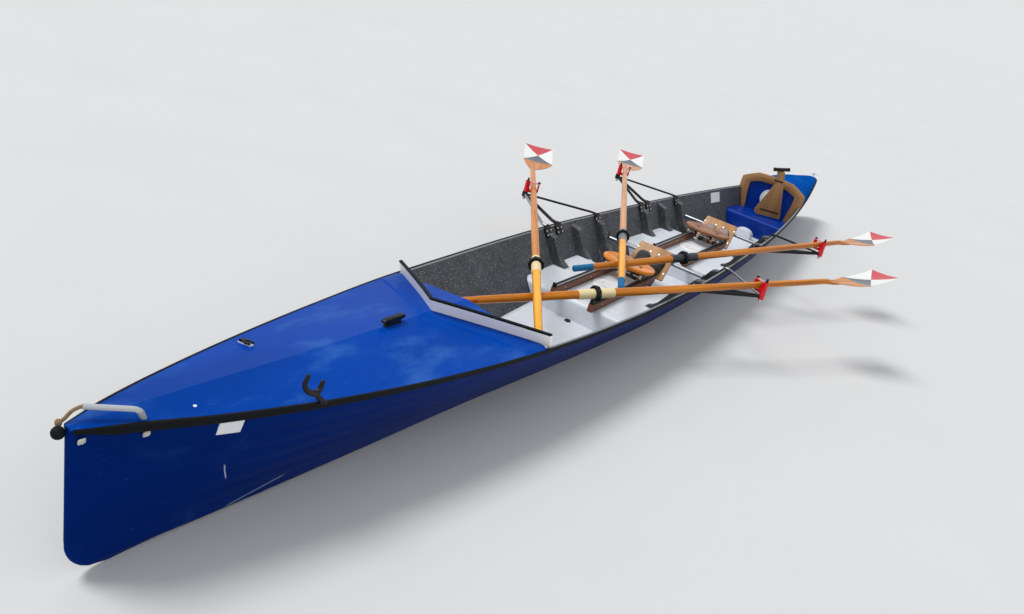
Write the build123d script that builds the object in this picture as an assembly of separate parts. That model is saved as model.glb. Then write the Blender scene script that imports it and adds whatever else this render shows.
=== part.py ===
from build123d import *
import functools
import math
import os
from collections import namedtuple

# Rowing boat: a coxed double-sculling gig with a moulded hull, standing on the flat of its bottom.
# Frame: +X towards the bow, +Y to port, +Z up. The origin is half way along, on the flat of the keel.
# Sizes are in millimetres. "aft" is a distance back from the stem head, along the keel.

# Reach of the forms that cut the others
WIDE = 700.0
TALL = 900.0
OPEN_TOP = 120.0  # above the sheer

# Hull
LENGTH = 8225.0
SHELL = 6.0  # moulded skin
LINER = 4.0  # dark inner wall of the cockpit
KEEL_DROP = 10.0  # how far the bottom planes would meet below the flat
STEM_RAKE = 28.0
FOREFOOT_R = 130.0
STERN_RAKE = 30.0
HEEL_R = 200.0
SOLID_END = 250.0  # stem and stern are solid over this length
END_MARGIN = 20.0

# Lines plan. at: share of LENGTH from the stem; crown: height of the deck ridge above the sheer;
# the bilge corner, where side and bottom planes meet, is rounded by bilge_r.
Station = namedtuple("Station", "at half_beam sheer crown bilge_y bilge_z bilge_r")
STATIONS = [
    Station(0.0000, 14, 505, 4, 9, 30, 9),
    Station(0.0180, 61, 499, 8, 14, 20, 12),
    Station(0.0486, 138, 477, 22, 31, 12, 20),
    Station(0.0972, 236, 446, 34, 57, 8, 35),
    Station(0.1519, 320, 420, 47, 86, 6, 50),
    Station(0.2187, 396, 398, 54, 120, 6, 70),
    Station(0.2916, 443, 380, 60, 172, 6, 90),
    Station(0.3645, 471, 371, 60, 218, 6, 110),
    Station(0.4374, 480, 367, 60, 250, 6, 120),
    Station(0.5346, 458, 363, 60, 260, 6, 120),
    Station(0.6440, 414, 365, 60, 242, 6, 115),
    Station(0.7412, 343, 370, 100, 194, 6, 95),
    Station(0.8140, 271, 376, 145, 142, 7, 75),
    Station(0.8748, 202, 382, 130, 92, 9, 50),
    Station(0.9356, 124, 389, 80, 47, 13, 28),
    Station(0.9817, 60, 397, 38, 22, 22, 14),
    Station(1.0000, 28, 400, 14, 12, 30, 9),
]

# Foredeck and splashboard
DECK_T = 5.0
DECK_START = 12.0
DECK_END_RIDGE = 1838.0
DECK_END_SIDE = 1885.0
SPLASH_APEX = 1592.0
SPLASH_END = 1921.0
SPLASH_H = 66.0
SPLASH_LEAN = 30.0
SPLASH_T = 12.0
SPLASH_TRIM_H = 8.0
SPLASH_TRIM_T = 16.0
FORE_BULKHEAD = 1480.0

# Rubber strip along the gunwale
FENDER_H = 24.0
FENDER_T = 12.0
FENDER_JOINTS = (2050.0, 4100.0, 6150.0)
FENDER_GAP = 2.0

# Cockpit
SOLE_TOP = 66.0
SOLE_T = 6.0
RIB_DEPTH = 34.0
RIB_W = 60.0
RIB_BELOW_SHEER = 12.0
PLUG_AFT = 3000.0
PLUG_R = 18.0
PLUG_H = 6.0

# Stern: seat, backrest arch and deck
SEAT_FRONT = 6320.0
SEAT_TOP = 220.0
STERN_BULKHEAD = 6640.0
COAMING_T = 22.0
COAMING_BAND = 66.0
COAMING_RISE = 34.0  # arch above the stern deck
COAMING_DROOP = 8.0  # top of the arch down to its knuckles
COAMING_SHOULDER = 0.72  # share of the deck's crown at which the arch leaves the side
COAMING_KNUCKLE = 0.55  # share of the half beam
COAMING_GAP = 2.0
HATCH_R = 75.0
HATCH_T = 14.0
HATCH_ABOVE_SEAT = 135.0
DECK_TAIL = 26.0  # the stern deck stops this far short of the sternpost
DECK_CHORDS = 10  # flats across the round of the stern deck

# Bow and stern fittings
BOW_BALL_R = 18.0
BOW_BALL_SET_IN = 3.0
BOW_BALL_DROP = 8.0
HOSE_R = 12.0
HOSE_BEND_R = 22.0
HOSE_FOOT_AFT = 187.0
HOSE_FOOT_IN = 16.0  # from the gunwale
HOSE_RISE = 42.0
HOSE_RISE_FORE = 15.0
HOSE_END_AFT = 42.0
HOSE_END_RISE = 62.0
ROPE_R = 5.0
ROPE_END_Y = -30.0
KNOT_R = 11.0
KNOTS_AFT = (187.0, 46.0)
KNOT_DROP = 40.0
KNOT_BULGE = 1.1
CLEAT_AFT = 1333.0
CLEAT_LENGTH = 126.0
CLEAT_W = 22.0
CLEAT_H = 32.0
CLEAT_HORN_T = 12.0
FORK_AFT = 760.0
FORK_Y = 206.0
FORK_BASE_R = 14.0
FORK_BASE_H = 21.0
FORK_STEM_R = 7.0
FORK_PRONG_R = 6.0
FORK_STEM = (18.0, 50.0)  # forward and up from the foot
FORK_PRONGS = ((52.0, 96.0), (-8.0, 80.0))
SOCKET_R = 12.5  # bore of the stern staff socket
SOCKET_WALL = 5.0
SOCKET_H = 46.0
SOCKET_FLOOR = 6.0  # foot of the bore above the deck
SOCKET_FROM_STERN = 90.0
SOCKET_LEG = (46.0, 36.0)  # aft and out
SOCKET_LEG_RISE = (20.0, 30.0)
SOCKET_LEG_R = 6.0
GUDGEON_BORE_R = 5.0
GUDGEON_WALL = 4.0
GUDGEON_L = 26.0
GUDGEON_GAP = 4.0  # sternpost to the upper eye
GUDGEON_Z = (300.0, 190.0)

# Rowing stations. rib, stay, tube and rail end places are distances aft of the pin
Rower = namedtuple("Rower", "name pin_aft ribs stay_fore stay_mid stay_back tube_aft rail_aft")
ROWERS = [
    Rower("bow", 3670.0, (-250, 80, 400), -262, -127, 400, 440, 172),
    Rower("stroke", 5090.0, (-330, -20, 280), -340, -235, 265, 312, 130),
]
PIN_Y = 800.0
PIN_R = 6.5
PIN_CLEAR = 0.08
PIN_STUB = 22.0  # free end of the pin above the lock
PIN_STUB_R = 6.0
STAY_R = 10.0
BACKSTAY_R = 7.0
FOOT_PLATE_W = 70.0
FOOT_PLATE_H = 62.0
FOOT_PLATE_T = 6.0
PLATE_GAP = 1.0
BOSS_R = 17.0
BOSS_H = 34.0
STAY_LIFT = 1.0  # stay above the gunwale
NUT_WALL = 4.0
NUT_H = 12.0
LOCK_GAP = 1.5  # bearing washer under the lock

# Slides
RAIL_Y = 118.0
RAIL_W = 22.0
RAIL_H = 12.0
RAIL_TOP = 241.0
RAIL_FORE = -708.0  # from the pin, forwards
RAIL_STOP_H = 22.0
BEARER_W = 30.0
BEARER_H = 46.0
PLATFORM_FORE = -640.0  # raised floor under the slides, from the pin
PLATFORM_AFT = 90.0
PLATFORM_T = 6.0
PLATFORM_TOP = RAIL_TOP - RAIL_H - BEARER_H
LID_AFT = -220.0
LID_R = 98.0
LID_HOLE_R = 88.0
LID_T = 4.0
LID_DEPTH = 12.0
LID_CLEAR = 0.5
WHEEL_R = 13.0
WHEEL_T = 8.0
WHEEL_BASE = 120.0
WHEEL_CLEAR = 0.4
AXLE_R = 4.0
SEAT_L = 215.0
SEAT_W = 340.0
SEAT_NOTCH_R = 31.0
SEAT_T = 20.0
SEAT_TOP_Z = 300.0
BRIDGE_H = 16.0
BRIDGE_T = 5.0

# Stretchers
TUBE_R = 11.0
TUBE_Z = 253.0
TUBE_BRACKET = 44.0
BRACKET_DEPTH = 26.0
BRACKET_GAP = 1.0
BOARD_W = 270.0
BOARD_T = 14.0
BOARD_H = 205.0
BOARD_TILT = 42.0
BOARD_DROP = 50.0  # middle of the board below the tube, down its slope
BOARD_GAP = 0.5
HEEL_W = 90.0
HEEL_T = 16.0
SHOE_W = 92.0
SHOE_L = 250.0
SHOE_H = 84.0
SHOE_GAP = 16.0
SHOE_CLEAR = 0.5

# Sculls, measured from the handle end
SCULL_L = 2950.0
GRIP_L = 135.0
GRIP_R = 17.5
SHAFT_HANDLE_R = 19.0
SHAFT_COLLAR_R = 22.5
SHAFT_NECK_R = 17.0
COLLAR_AT = 870.0
SLEEVE_L = 220.0
SLEEVE_T = 2.5
BUTTON_R = 42.0
BUTTON_T = 22.0
BLADE_L = 480.0
BLADE_T = 9.0
BLADE_PAINTED = 250.0
BLADE_NARROW_W = 62.0  # shaft axis to the blade's nearer edge
BLADE_BROAD_W = 142.0
BLADE_DIP = 14.0  # lowest point of the spoon, half way along
BLADE_RISE = 26.0  # underside of the tip above the shaft axis
SHAFT_END_R = 10.0  # where the shaft runs out on the blade
SHAFT_ON_BLADE = 160.0
SHAFT_OFFSET = 42.0  # pin axis to shaft axis
LOCK_SILL_T = 9.0
LOCK_L = 46.0
LOCK_SLEEVE_R = 14.0
LOCK_H = 66.0
LOCK_FACE_T = 6.0
LOCK_CLEAR = 3.0
HORN_T = 8.0
HORN_L = 32.0
GATE_T = 7.0
GATE_L = 14.0

# As the sculls lie. side: +1 to port. broad: +1 where the blade's broad edge is on the pin's side of the
# shaft. sweep: turn of the handle from square to the boat towards the bow. tilt: drop of the handle.
# tip_out: pin to blade tip along the shaft. shaft_z: height of the shaft in its lock.
Scull = namedtuple("Scull", "name rower side broad sweep tilt tip_out shaft_z")
SCULLS = [
    Scull("bow_port", 0, 1, 1, 61.0, 4.1, 1016.0, 473.0),
    Scull("stroke_port", 1, 1, 1, 68.0, 3.7, 721.0, 486.0),
    Scull("bow_starboard", 0, -1, -1, 58.0, 2.68, 853.0, 486.0),
    Scull("stroke_starboard", 1, -1, -1, 64.9, 1.7, 514.0, 470.0),
]

# Rudder, lifted off and stood on the cox's seat
RUDDER_T = 18.0
RUDDER_FOOT = (6588.0, 158.0)  # aft and y of the lower end of its straight edge
RUDDER_FOOT_FORE = (6492.0, -45.0)
RUDDER_HEAD_W = 66.0
RUDDER_H = 408.0
RUDDER_HEAD_H = 110.0
RUDDER_LIFT = 12.0  # foot above the seat, so that no corner meets it
RUDDER_TOE = ((0.0, -2.0), (12.0, 30.0))
RUDDER_NECK = 0.72  # share of the height where the head begins
RUDDER_LEAN_SIDE = 19.0
YOKE_L = 150.0
YOKE_W = 24.0
YOKE_H = 16.0


def x_at(aft):
    """X of a place given by its distance aft of the stem head."""
    return LENGTH / 2 - aft


def hull_at(aft):
    """The hull's lines at any place, straight between the stations of the table."""
    at = min(max(aft / LENGTH, 0.0), 1.0)
    for fore, back in zip(STATIONS, STATIONS[1:]):
        if at <= back.at:
            share = (at - fore.at) / (back.at - fore.at)
            return Station(*(a + (b - a) * share for a, b in zip(fore, back)))
    return STATIONS[-1]


def half_section(lines, inset, rise):
    """Gunwale, the two ends and middle of the bilge arc, and keel, of a half section moved in by inset."""
    bottom = math.atan2(lines.bilge_z + KEEL_DROP, lines.bilge_y)
    side = math.atan2(lines.sheer - lines.bilge_z, lines.half_beam - lines.bilge_y)
    keel_z = -KEEL_DROP + inset / math.cos(bottom)
    side_y = lines.bilge_y - inset * math.sin(side)
    side_z = lines.bilge_z + inset * math.cos(side)
    slope_b, slope_s = math.tan(bottom), math.tan(side)
    corner_y = (keel_z - side_z + slope_s * side_y) / (slope_s - slope_b)
    corner_z = keel_z + slope_b * corner_y
    top_z = lines.sheer + rise
    gunwale = (corner_y + (top_z - corner_z) / slope_s, top_z)
    radius = lines.bilge_r - inset
    reach = radius * math.tan((side - bottom) / 2)
    on_side = (corner_y + reach * math.cos(side), corner_z + reach * math.sin(side))
    on_bottom = (corner_y - reach * math.cos(bottom), corner_z - reach * math.sin(bottom))
    middle = (side + bottom) / 2
    centre = (on_bottom[0] - radius * math.sin(bottom), on_bottom[1] + radius * math.cos(bottom))
    on_arc = (centre[0] + radius * math.sin(middle), centre[1] - radius * math.cos(middle))
    return gunwale, on_side, on_arc, on_bottom, (0.0, keel_z)


def section_wire(aft, inset, rise):
    """Closed section of the hull form across the boat."""
    x = x_at(aft)
    gunwale, on_side, on_arc, on_bottom, keel = half_section(hull_at(aft), inset, rise)
    port = [Vector(x, y, z) for y, z in (gunwale, on_side, on_arc, on_bottom, keel)]
    starboard = [Vector(x, -p.Y, p.Z) for p in port]
    edges = [
        Edge.make_line(port[0], port[1]),
        Edge.make_three_point_arc(port[1], port[2], port[3]),
        Edge.make_line(port[3], port[4]),
        Edge.make_line(starboard[4], starboard[3]),
        Edge.make_three_point_arc(starboard[3], starboard[2], starboard[1]),
        Edge.make_line(starboard[1], starboard[0]),
        Edge.make_line(starboard[0], port[0]),
    ]
    return Wire(edges)


def stations_between(first, last):
    """Places of the sections from first to last: both ends and each table station between them."""
    inner = [s.at * LENGTH for s in STATIONS if first + 1 < s.at * LENGTH < last - 1]
    return [first] + inner + [last]


def hull_form(first, last, inset=0.0, rise=0.0):
    """Solid inside the hull's surface moved in by inset, from first to last."""
    return Solid.make_loft([section_wire(a, inset, rise) for a in stations_between(first, last)], ruled=True)


@functools.cache
def inner_form(inset):
    """Solid inside the hull's surface moved in by inset, between the solid ends, standing above the sheer."""
    return hull_form(SOLID_END, LENGTH - SOLID_END, inset, OPEN_TOP)


@functools.cache
def outer_form():
    """Solid inside the hull's outer surface, up to the sheer."""
    return hull_form(-END_MARGIN, LENGTH + END_MARGIN)


@functools.cache
def cavity():
    """Space inside the skin up to the sheer, with a flat along the keel."""
    return inner_form(SHELL) & block(0, LENGTH, -WIDE, WIDE, SHELL, TALL) & outer_form()


def polygon_loft(first, last, outline):
    """Ruled solid through the polygon that outline(lines) gives at each station."""
    wires = []
    for aft in stations_between(first, last):
        points = [Vector(x_at(aft), y, z) for y, z in outline(hull_at(aft))]
        wires.append(Wire.make_polygon(points, close=True))
    return Solid.make_loft(wires, ruled=True)


def block(fore, back, y0, y1, z0, z1):
    """Box between two distances aft, two y and two z."""
    size = (back - fore, y1 - y0, z1 - z0)
    return Pos(x_at((fore + back) / 2), (y0 + y1) / 2, (z0 + z1) / 2) * Box(*size)


def rod(start, end, radius):
    """Round bar between two points."""
    start, end = Vector(*start), Vector(*end)
    return Solid.make_cylinder(radius, (end - start).length, Plane(origin=start, z_dir=end - start))


def mirrored(shape):
    """The same shape on the other side of the boat."""
    return mirror(shape, about=Plane.XZ)


def save(shape, name):
    """Write one node."""
    export_step(shape, f"parts/{name}.step")


def stem_and_stern_profile():
    """Side view of the hull, with rounded forefoot and heel, as a slab across the boat."""
    bow, stern = x_at(0), x_at(LENGTH)
    head = TALL / hull_at(0).sheer
    tail = TALL / hull_at(LENGTH).sheer
    corners = [
        (bow - STEM_RAKE + STEM_RAKE * head, TALL),
        (bow - STEM_RAKE, 0.0),
        (stern + STERN_RAKE, 0.0),
        (stern + STERN_RAKE - STERN_RAKE * tail, TALL),
    ]
    path = FilletPolyline(*corners, radius=[FOREFOOT_R, HEEL_R])
    side = make_face(Plane.XZ * (path + Line(corners[-1], corners[0])))
    return extrude(side, amount=WIDE, both=True)


def make_hull_shell():
    """Moulded skin with a flat along the keel, open on top."""
    outside = outer_form() & stem_and_stern_profile()
    inside = inner_form(SHELL) & block(0, LENGTH, -WIDE, WIDE, SHELL, TALL)
    return outside - inside


def make_cockpit_liner():
    """Dark inner walls with the moulded ribs that back the riggers."""
    fore, back = FORE_BULKHEAD + SHELL, STERN_BULKHEAD
    above_sole = block(fore, back, -WIDE, WIDE, SOLE_TOP, TALL)
    liner = (cavity() & above_sole) - inner_form(SHELL + LINER)
    first, last = SPLASH_END, SEAT_FRONT
    rib_zone = (cavity() & Pos(0, 0, -RIB_BELOW_SHEER) * outer_form()) - hull_form(
        first, last, SHELL + LINER + RIB_DEPTH, OPEN_TOP)
    for rower in ROWERS:
        for offset in rower.ribs:
            middle = rower.pin_aft + offset
            window = block(middle - RIB_W / 2, middle + RIB_W / 2, -WIDE, WIDE, SOLE_TOP, TALL)
            liner = liner + (rib_zone & window)
    return liner


def make_sole():
    """Pale floor of the cockpit."""
    return cavity() & block(FORE_BULKHEAD + SHELL, STERN_BULKHEAD, -WIDE, WIDE, SOLE_TOP - SOLE_T, SOLE_TOP)


def make_platforms(liner):
    """Raised floor under each pair of slides, open below, and the lids on its round hatches."""
    platforms, lids = [], []
    for rower in ROWERS:
        fore, back = rower.pin_aft + PLATFORM_FORE, rower.pin_aft + PLATFORM_AFT
        lid_x = x_at(rower.pin_aft + LID_AFT)
        outside = inner_form(SHELL + LINER) & block(fore, back, -WIDE, WIDE, SOLE_TOP, PLATFORM_TOP)
        room = block(fore + PLATFORM_T, back - PLATFORM_T, -WIDE, WIDE, 0, PLATFORM_TOP - PLATFORM_T)
        hole = Pos(lid_x, 0, PLATFORM_TOP) * Cylinder(LID_HOLE_R, 3 * PLATFORM_T)
        platforms.append(outside - (inner_form(SHELL + LINER + PLATFORM_T) & room) - hole - liner)
        lid = Pos(lid_x, 0, PLATFORM_TOP + LID_T / 2) * Cylinder(LID_R, LID_T)
        plug_z = PLATFORM_TOP + LID_T - LID_DEPTH / 2
        lids.append(lid + Pos(lid_x, 0, plug_z) * Cylinder(LID_HOLE_R - LID_CLEAR, LID_DEPTH))
    save(Compound(children=platforms), "slide_platforms")
    save(Compound(children=lids), "platform_hatch_covers")


def deck_outline(thickness):
    """Two planes that meet in a ridge, thickness thick."""

    def outline(lines):
        edge, ridge = lines.sheer, lines.sheer + lines.crown
        b = lines.half_beam
        return [(b, edge), (b, edge + thickness), (0, ridge + thickness), (-b, edge + thickness),
                (-b, edge), (0, ridge)]

    return outline


def below_deck_outline(lines):
    """Everything under the top of the foredeck."""
    b, edge = lines.half_beam, lines.sheer + DECK_T
    return [(b, 0), (b, edge), (0, edge + lines.crown), (-b, edge), (-b, 0)]


def under_deck_outline(lines):
    """The space between the sheer and the underside of the deck."""
    b, edge = lines.half_beam - SHELL, lines.sheer
    return [(b, edge), (0, edge + lines.crown - SHELL), (-b, edge)]


def make_foredeck():
    """Ridged deck from the stem to behind the splashboard, its rear edge set back at the sides."""
    deck = polygon_loft(DECK_START, LENGTH / 2, deck_outline(DECK_T))
    fore, ridge, side = x_at(0), x_at(DECK_END_RIDGE), x_at(DECK_END_SIDE)
    half = hull_at(DECK_END_SIDE).half_beam
    plan = Polyline((fore, half), (side, half), (ridge, 0), (side, -half), (fore, -half), close=True)
    return deck & extrude(make_face(plan), amount=TALL)


def bulkhead(aft, under_deck):
    """Wall across the hull from the flat to the deck."""
    slab = block(aft, aft + SHELL, -WIDE, WIDE, SHELL, TALL)
    return (cavity() & slab) + (under_deck & slab)


def arc_outline(grow):
    """Round-topped section of the stern deck, grown by grow, as a polygon of short chords."""

    def outline(lines):
        b, h = lines.half_beam + min(grow, 0), lines.crown + grow
        turns = [math.pi * k / DECK_CHORDS for k in range(DECK_CHORDS + 1)]
        return [(b * math.cos(t), lines.sheer + h * math.sin(t)) for t in turns]

    return outline


@functools.cache
def stern_deck_form():
    """The stern deck as if it were solid."""
    back = LENGTH - DECK_TAIL
    return polygon_loft(LENGTH / 2, back, arc_outline(0)) & block(STERN_BULKHEAD, back, -WIDE, WIDE, 0, TALL)


def make_stern_deck():
    """Round-topped deck from the backrest to the sternpost."""
    return stern_deck_form() - polygon_loft(LENGTH / 2, LENGTH - 2 * DECK_TAIL, arc_outline(-DECK_T))


def make_fenders():
    """Rubber strip outside each gunwale, from stem to stern, in butted lengths."""

    def outline(lines):
        lean = (lines.half_beam - lines.bilge_y) / (lines.sheer - lines.bilge_z)
        low = lines.half_beam - FENDER_H * lean
        top, foot = lines.sheer + DECK_T, lines.sheer - FENDER_H
        return [(lines.half_beam, lines.sheer), (lines.half_beam, top), (lines.half_beam + FENDER_T, top),
                (low + FENDER_T, foot), (low, foot)]

    ends = (DECK_START,) + FENDER_JOINTS + (LENGTH - DECK_TAIL,)
    port = [polygon_loft(fore, back - FENDER_GAP, outline) for fore, back in zip(ends, ends[1:])]
    return Compound(children=port + [mirrored(length) for length in port])


def splash_points(along):
    """Port half of the line where the splashboard meets the deck; along runs 0 to 1 from the apex."""
    aft = SPLASH_APEX + (SPLASH_END - SPLASH_APEX) * along
    lines = hull_at(aft)
    y = lines.half_beam * along
    return Vector(x_at(aft), y, lines.sheer + lines.crown * (1 - along) + DECK_T)


def splash_board(low, high, thickness):
    """Both wings of the splashboard between two heights above the deck."""
    foot_in, foot_out = splash_points(0), splash_points(1)
    lean = Vector(SPLASH_LEAN, 0, SPLASH_H) / SPLASH_H
    corners = [foot_in + lean * low, foot_out + lean * low, foot_out + lean * high, foot_in + lean * high]
    wing = make_face(Polyline(*corners, close=True))
    port = extrude(wing, amount=thickness / 2, both=True)
    port = port & block(0, LENGTH, 0, WIDE, 0, TALL)
    return port + mirrored(port)


def make_coaming():
    """Wooden arch behind the cox's seat: two legs inside the hull and a band over the deck's front edge."""
    lines = hull_at(STERN_BULKHEAD)
    b, sheer, band, gap = lines.half_beam, lines.sheer, COAMING_BAND, COAMING_GAP
    top = sheer + lines.crown + COAMING_RISE
    shoulder = sheer + lines.crown * COAMING_SHOULDER
    inside = b - SHELL - LINER
    lean = (b - lines.bilge_y) / (sheer - lines.bilge_z)
    foot_y = inside - (sheer - SEAT_TOP) * lean - gap
    neck, knuckle = sheer - LINER - gap, top - COAMING_DROOP
    outer = [(foot_y, SEAT_TOP), (inside - gap, neck), (b + 2 * gap, sheer + DECK_T + gap),
             (b + gap, shoulder), (b * COAMING_KNUCKLE, knuckle), (0, top)]
    inner = [(foot_y - band / 2, SEAT_TOP), (inside - band, neck), (b - band, shoulder - band / 2),
             (b * COAMING_KNUCKLE - band / 2, knuckle - band), (0, top - band)]
    right = [(-y, z) for y, z in reversed(outer[:-1])]
    right_inner = [(-y, z) for y, z in inner[:-1]]
    ring = outer + right + right_inner + list(reversed(inner))
    face = make_face(Polyline(*[Vector(x_at(STERN_BULKHEAD), y, z) for y, z in ring], close=True))
    return extrude(face, amount=COAMING_T, dir=(1, 0, 0))


def make_slides(rower):
    """Rails with a stop at each end, on wooden bearers."""
    fore, back = rower.pin_aft + RAIL_FORE, rower.pin_aft + rower.rail_aft
    foot = RAIL_TOP - RAIL_H
    rails, bearers = [], []
    for y in (-RAIL_Y, RAIL_Y):
        rail = block(fore, back, y - RAIL_W / 2, y + RAIL_W / 2, foot, RAIL_TOP)
        for end in (fore, back - RAIL_H):
            rail = rail + block(end, end + RAIL_H, y - RAIL_W / 2, y + RAIL_W / 2, foot, foot + RAIL_STOP_H)
        rails.append(rail)
        bearers.append(block(fore, back, y - BEARER_W / 2, y + BEARER_W / 2, foot - BEARER_H, foot))
    save(Compound(children=rails), f"{rower.name}_seat_rails")
    save(Compound(children=bearers), f"{rower.name}_rail_bearers")


def make_seat(rower):
    """Seat top with a notch behind, on a carriage of two axles and four wheels."""
    x = x_at(rower.pin_aft)
    axle_z = RAIL_TOP + WHEEL_CLEAR + WHEEL_R
    frame_z = SEAT_TOP_Z - SEAT_T
    carriage = Pos(x, RAIL_Y / 2, frame_z - BRIDGE_T / 2) * Box(WHEEL_BASE, BRIDGE_H, BRIDGE_T)
    carriage = carriage + mirrored(carriage)
    for axle_x in (x - WHEEL_BASE / 2, x + WHEEL_BASE / 2):
        carriage = carriage + rod((axle_x, -RAIL_Y, axle_z), (axle_x, RAIL_Y, axle_z), AXLE_R)
        for side in (-1, 1):
            leg = Box(BRIDGE_H, BRIDGE_H, frame_z - axle_z)
            carriage = carriage + Pos(axle_x, side * RAIL_Y / 2, (axle_z + frame_z) / 2) * leg
            wheel = Rot(90, 0, 0) * Cylinder(WHEEL_R, WHEEL_T)
            carriage = carriage + Pos(axle_x, side * RAIL_Y, axle_z) * wheel
    save(carriage, f"{rower.name}_seat_carriage")
    seat = extrude(Pos(x, 0, frame_z) * Ellipse(SEAT_L / 2, SEAT_W / 2), amount=SEAT_T)
    notch = Pos(x - SEAT_L / 2, 0, SEAT_TOP_Z - SEAT_T / 2) * Cylinder(SEAT_NOTCH_R, SEAT_T * 2)
    save(seat - notch, f"{rower.name}_seat_top")


def make_stretcher(rower, liner):
    """Cross tube with its brackets, the foot board on it, and the two shoes."""
    aft = rower.pin_aft + rower.tube_aft
    x = x_at(aft)
    gunwale, on_side = half_section(hull_at(aft), SHELL + LINER, 0)[:2]
    slope = (gunwale[0] - on_side[0]) / (gunwale[1] - on_side[1])
    half = TUBE_BRACKET / 2
    wall_y = on_side[0] + (TUBE_Z - half - on_side[1]) * slope - BRACKET_GAP
    tube = rod((x, -wall_y, TUBE_Z), (x, wall_y, TUBE_Z), TUBE_R)
    for y0, y1 in ((-wall_y, BRACKET_DEPTH - wall_y), (wall_y - BRACKET_DEPTH, wall_y)):
        tube = tube + block(aft - half, aft + half, y0, y1, TUBE_Z - half, TUBE_Z + half)
    save(tube - liner, f"{rower.name}_stretcher_tube")
    lie, rise = math.cos(math.radians(BOARD_TILT)), math.sin(math.radians(BOARD_TILT))
    away = TUBE_R + HEEL_T + BOARD_T / 2 + BOARD_GAP
    centre = Vector(x + away * lie + BOARD_DROP * rise, 0, TUBE_Z + away * rise - BOARD_DROP * lie)
    on_board = Plane(origin=centre, x_dir=(0, 1, 0), z_dir=(lie, 0, rise))
    board = on_board * Box(BOARD_W, BOARD_H, BOARD_T)
    rest_l = (centre.Z - SOLE_TOP) / lie + BOARD_DROP
    rest = on_board * Pos(0, BOARD_DROP - rest_l / 2, -HEEL_T / 2) * Box(HEEL_W, rest_l, BOARD_T + HEEL_T)
    save(board + rest - block(0, LENGTH, -WIDE, WIDE, -TALL, SOLE_TOP), f"{rower.name}_stretcher_board")
    outline = Polyline((-SHOE_L / 2, 0), (-SHOE_L / 2, SHOE_H), (-SHOE_L / 6, SHOE_H),
                       (SHOE_L / 3, SHOE_H / 2), (SHOE_L / 2, SHOE_H / 4), (SHOE_L / 2, 0), close=True)
    side_view = Plane.YZ * make_face(outline)
    shoe = extrude(side_view, amount=SHOE_W / 2, both=True)
    places = (-(SHOE_W + SHOE_GAP) / 2, (SHOE_W + SHOE_GAP) / 2)
    shoes = [on_board * Pos(y, 0, BOARD_T / 2 + SHOE_CLEAR) * shoe for y in places]
    save(Compound(children=shoes), f"{rower.name}_stretcher_shoes")


def lock_sill(scull):
    """Height of the foot of a scull's lock."""
    return scull.shaft_z - SHAFT_COLLAR_R - LOCK_CLEAR / 2 - LOCK_SILL_T


def pin_foot(rower, side):
    """Point on the pin axis where the stays meet, under the lock."""
    scull = next(s for s in SCULLS if ROWERS[s.rower] is rower and s.side == side)
    return Vector(x_at(rower.pin_aft), side * PIN_Y, lock_sill(scull) - LOCK_GAP)


def make_rigger(rower, side):
    """Two main stays, a backstay, the boss with its pin, and the plates that hold them to the gunwale."""
    top = pin_foot(rower, side)
    rigger = Pos(top.X, top.Y, top.Z - BOSS_H / 2) * Cylinder(BOSS_R, BOSS_H)
    shoulder = top.Z + LOCK_GAP + LOCK_H
    rigger = rigger + rod((top.X, top.Y, top.Z - 1), (top.X, top.Y, shoulder), PIN_R)
    rigger = rigger + rod((top.X, top.Y, shoulder - 1), (top.X, top.Y, shoulder + PIN_STUB), PIN_STUB_R)
    rigger = rigger + Pos(top.X, top.Y, top.Z - BOSS_H - NUT_H / 2) * Cylinder(PIN_R + NUT_WALL, NUT_H)
    hub = (top.X, top.Y, top.Z - BOSS_H / 2)
    stays = ((rower.stay_fore, STAY_R), (rower.stay_mid, STAY_R), (rower.stay_back, BACKSTAY_R))
    for offset, radius in stays:
        aft = rower.pin_aft + offset
        lines = hull_at(aft)
        over = lines.sheer + DECK_T + radius + STAY_LIFT
        inside = lines.half_beam - SHELL - LINER
        inner = (x_at(aft), side * (inside - FOOT_PLATE_T), over)
        edge = (x_at(aft), side * (lines.half_beam + FENDER_T + radius), over)
        rigger = rigger + rod(inner, edge, radius) + rod(edge, hub, radius) + Pos(*edge) * Sphere(radius)
        lean = math.degrees(math.atan2(lines.half_beam - lines.bilge_y, lines.sheer - lines.bilge_z))
        plate = Pos(0, 0, -FOOT_PLATE_H / 2) * Box(FOOT_PLATE_W, FOOT_PLATE_T, FOOT_PLATE_H + radius)
        plate_y = inside - FOOT_PLATE_T / 2 - PLATE_GAP
        rigger = rigger + Pos(x_at(aft), side * plate_y, over) * Rot(-side * lean, 0, 0) * plate
    return rigger


def scull_plane(scull, height):
    """Frame of a scull on its pin axis: x to the handle, y from shaft to pin, z up."""
    rower = ROWERS[scull.rower]
    sweep = math.radians(scull.sweep)
    along = Vector(math.sin(sweep), -scull.side * math.cos(sweep), 0)
    origin = Vector(x_at(rower.pin_aft), scull.side * PIN_Y, height)
    z_dir = Vector(0, 0, 1)
    return Plane(origin=origin, x_dir=along, z_dir=z_dir)


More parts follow.
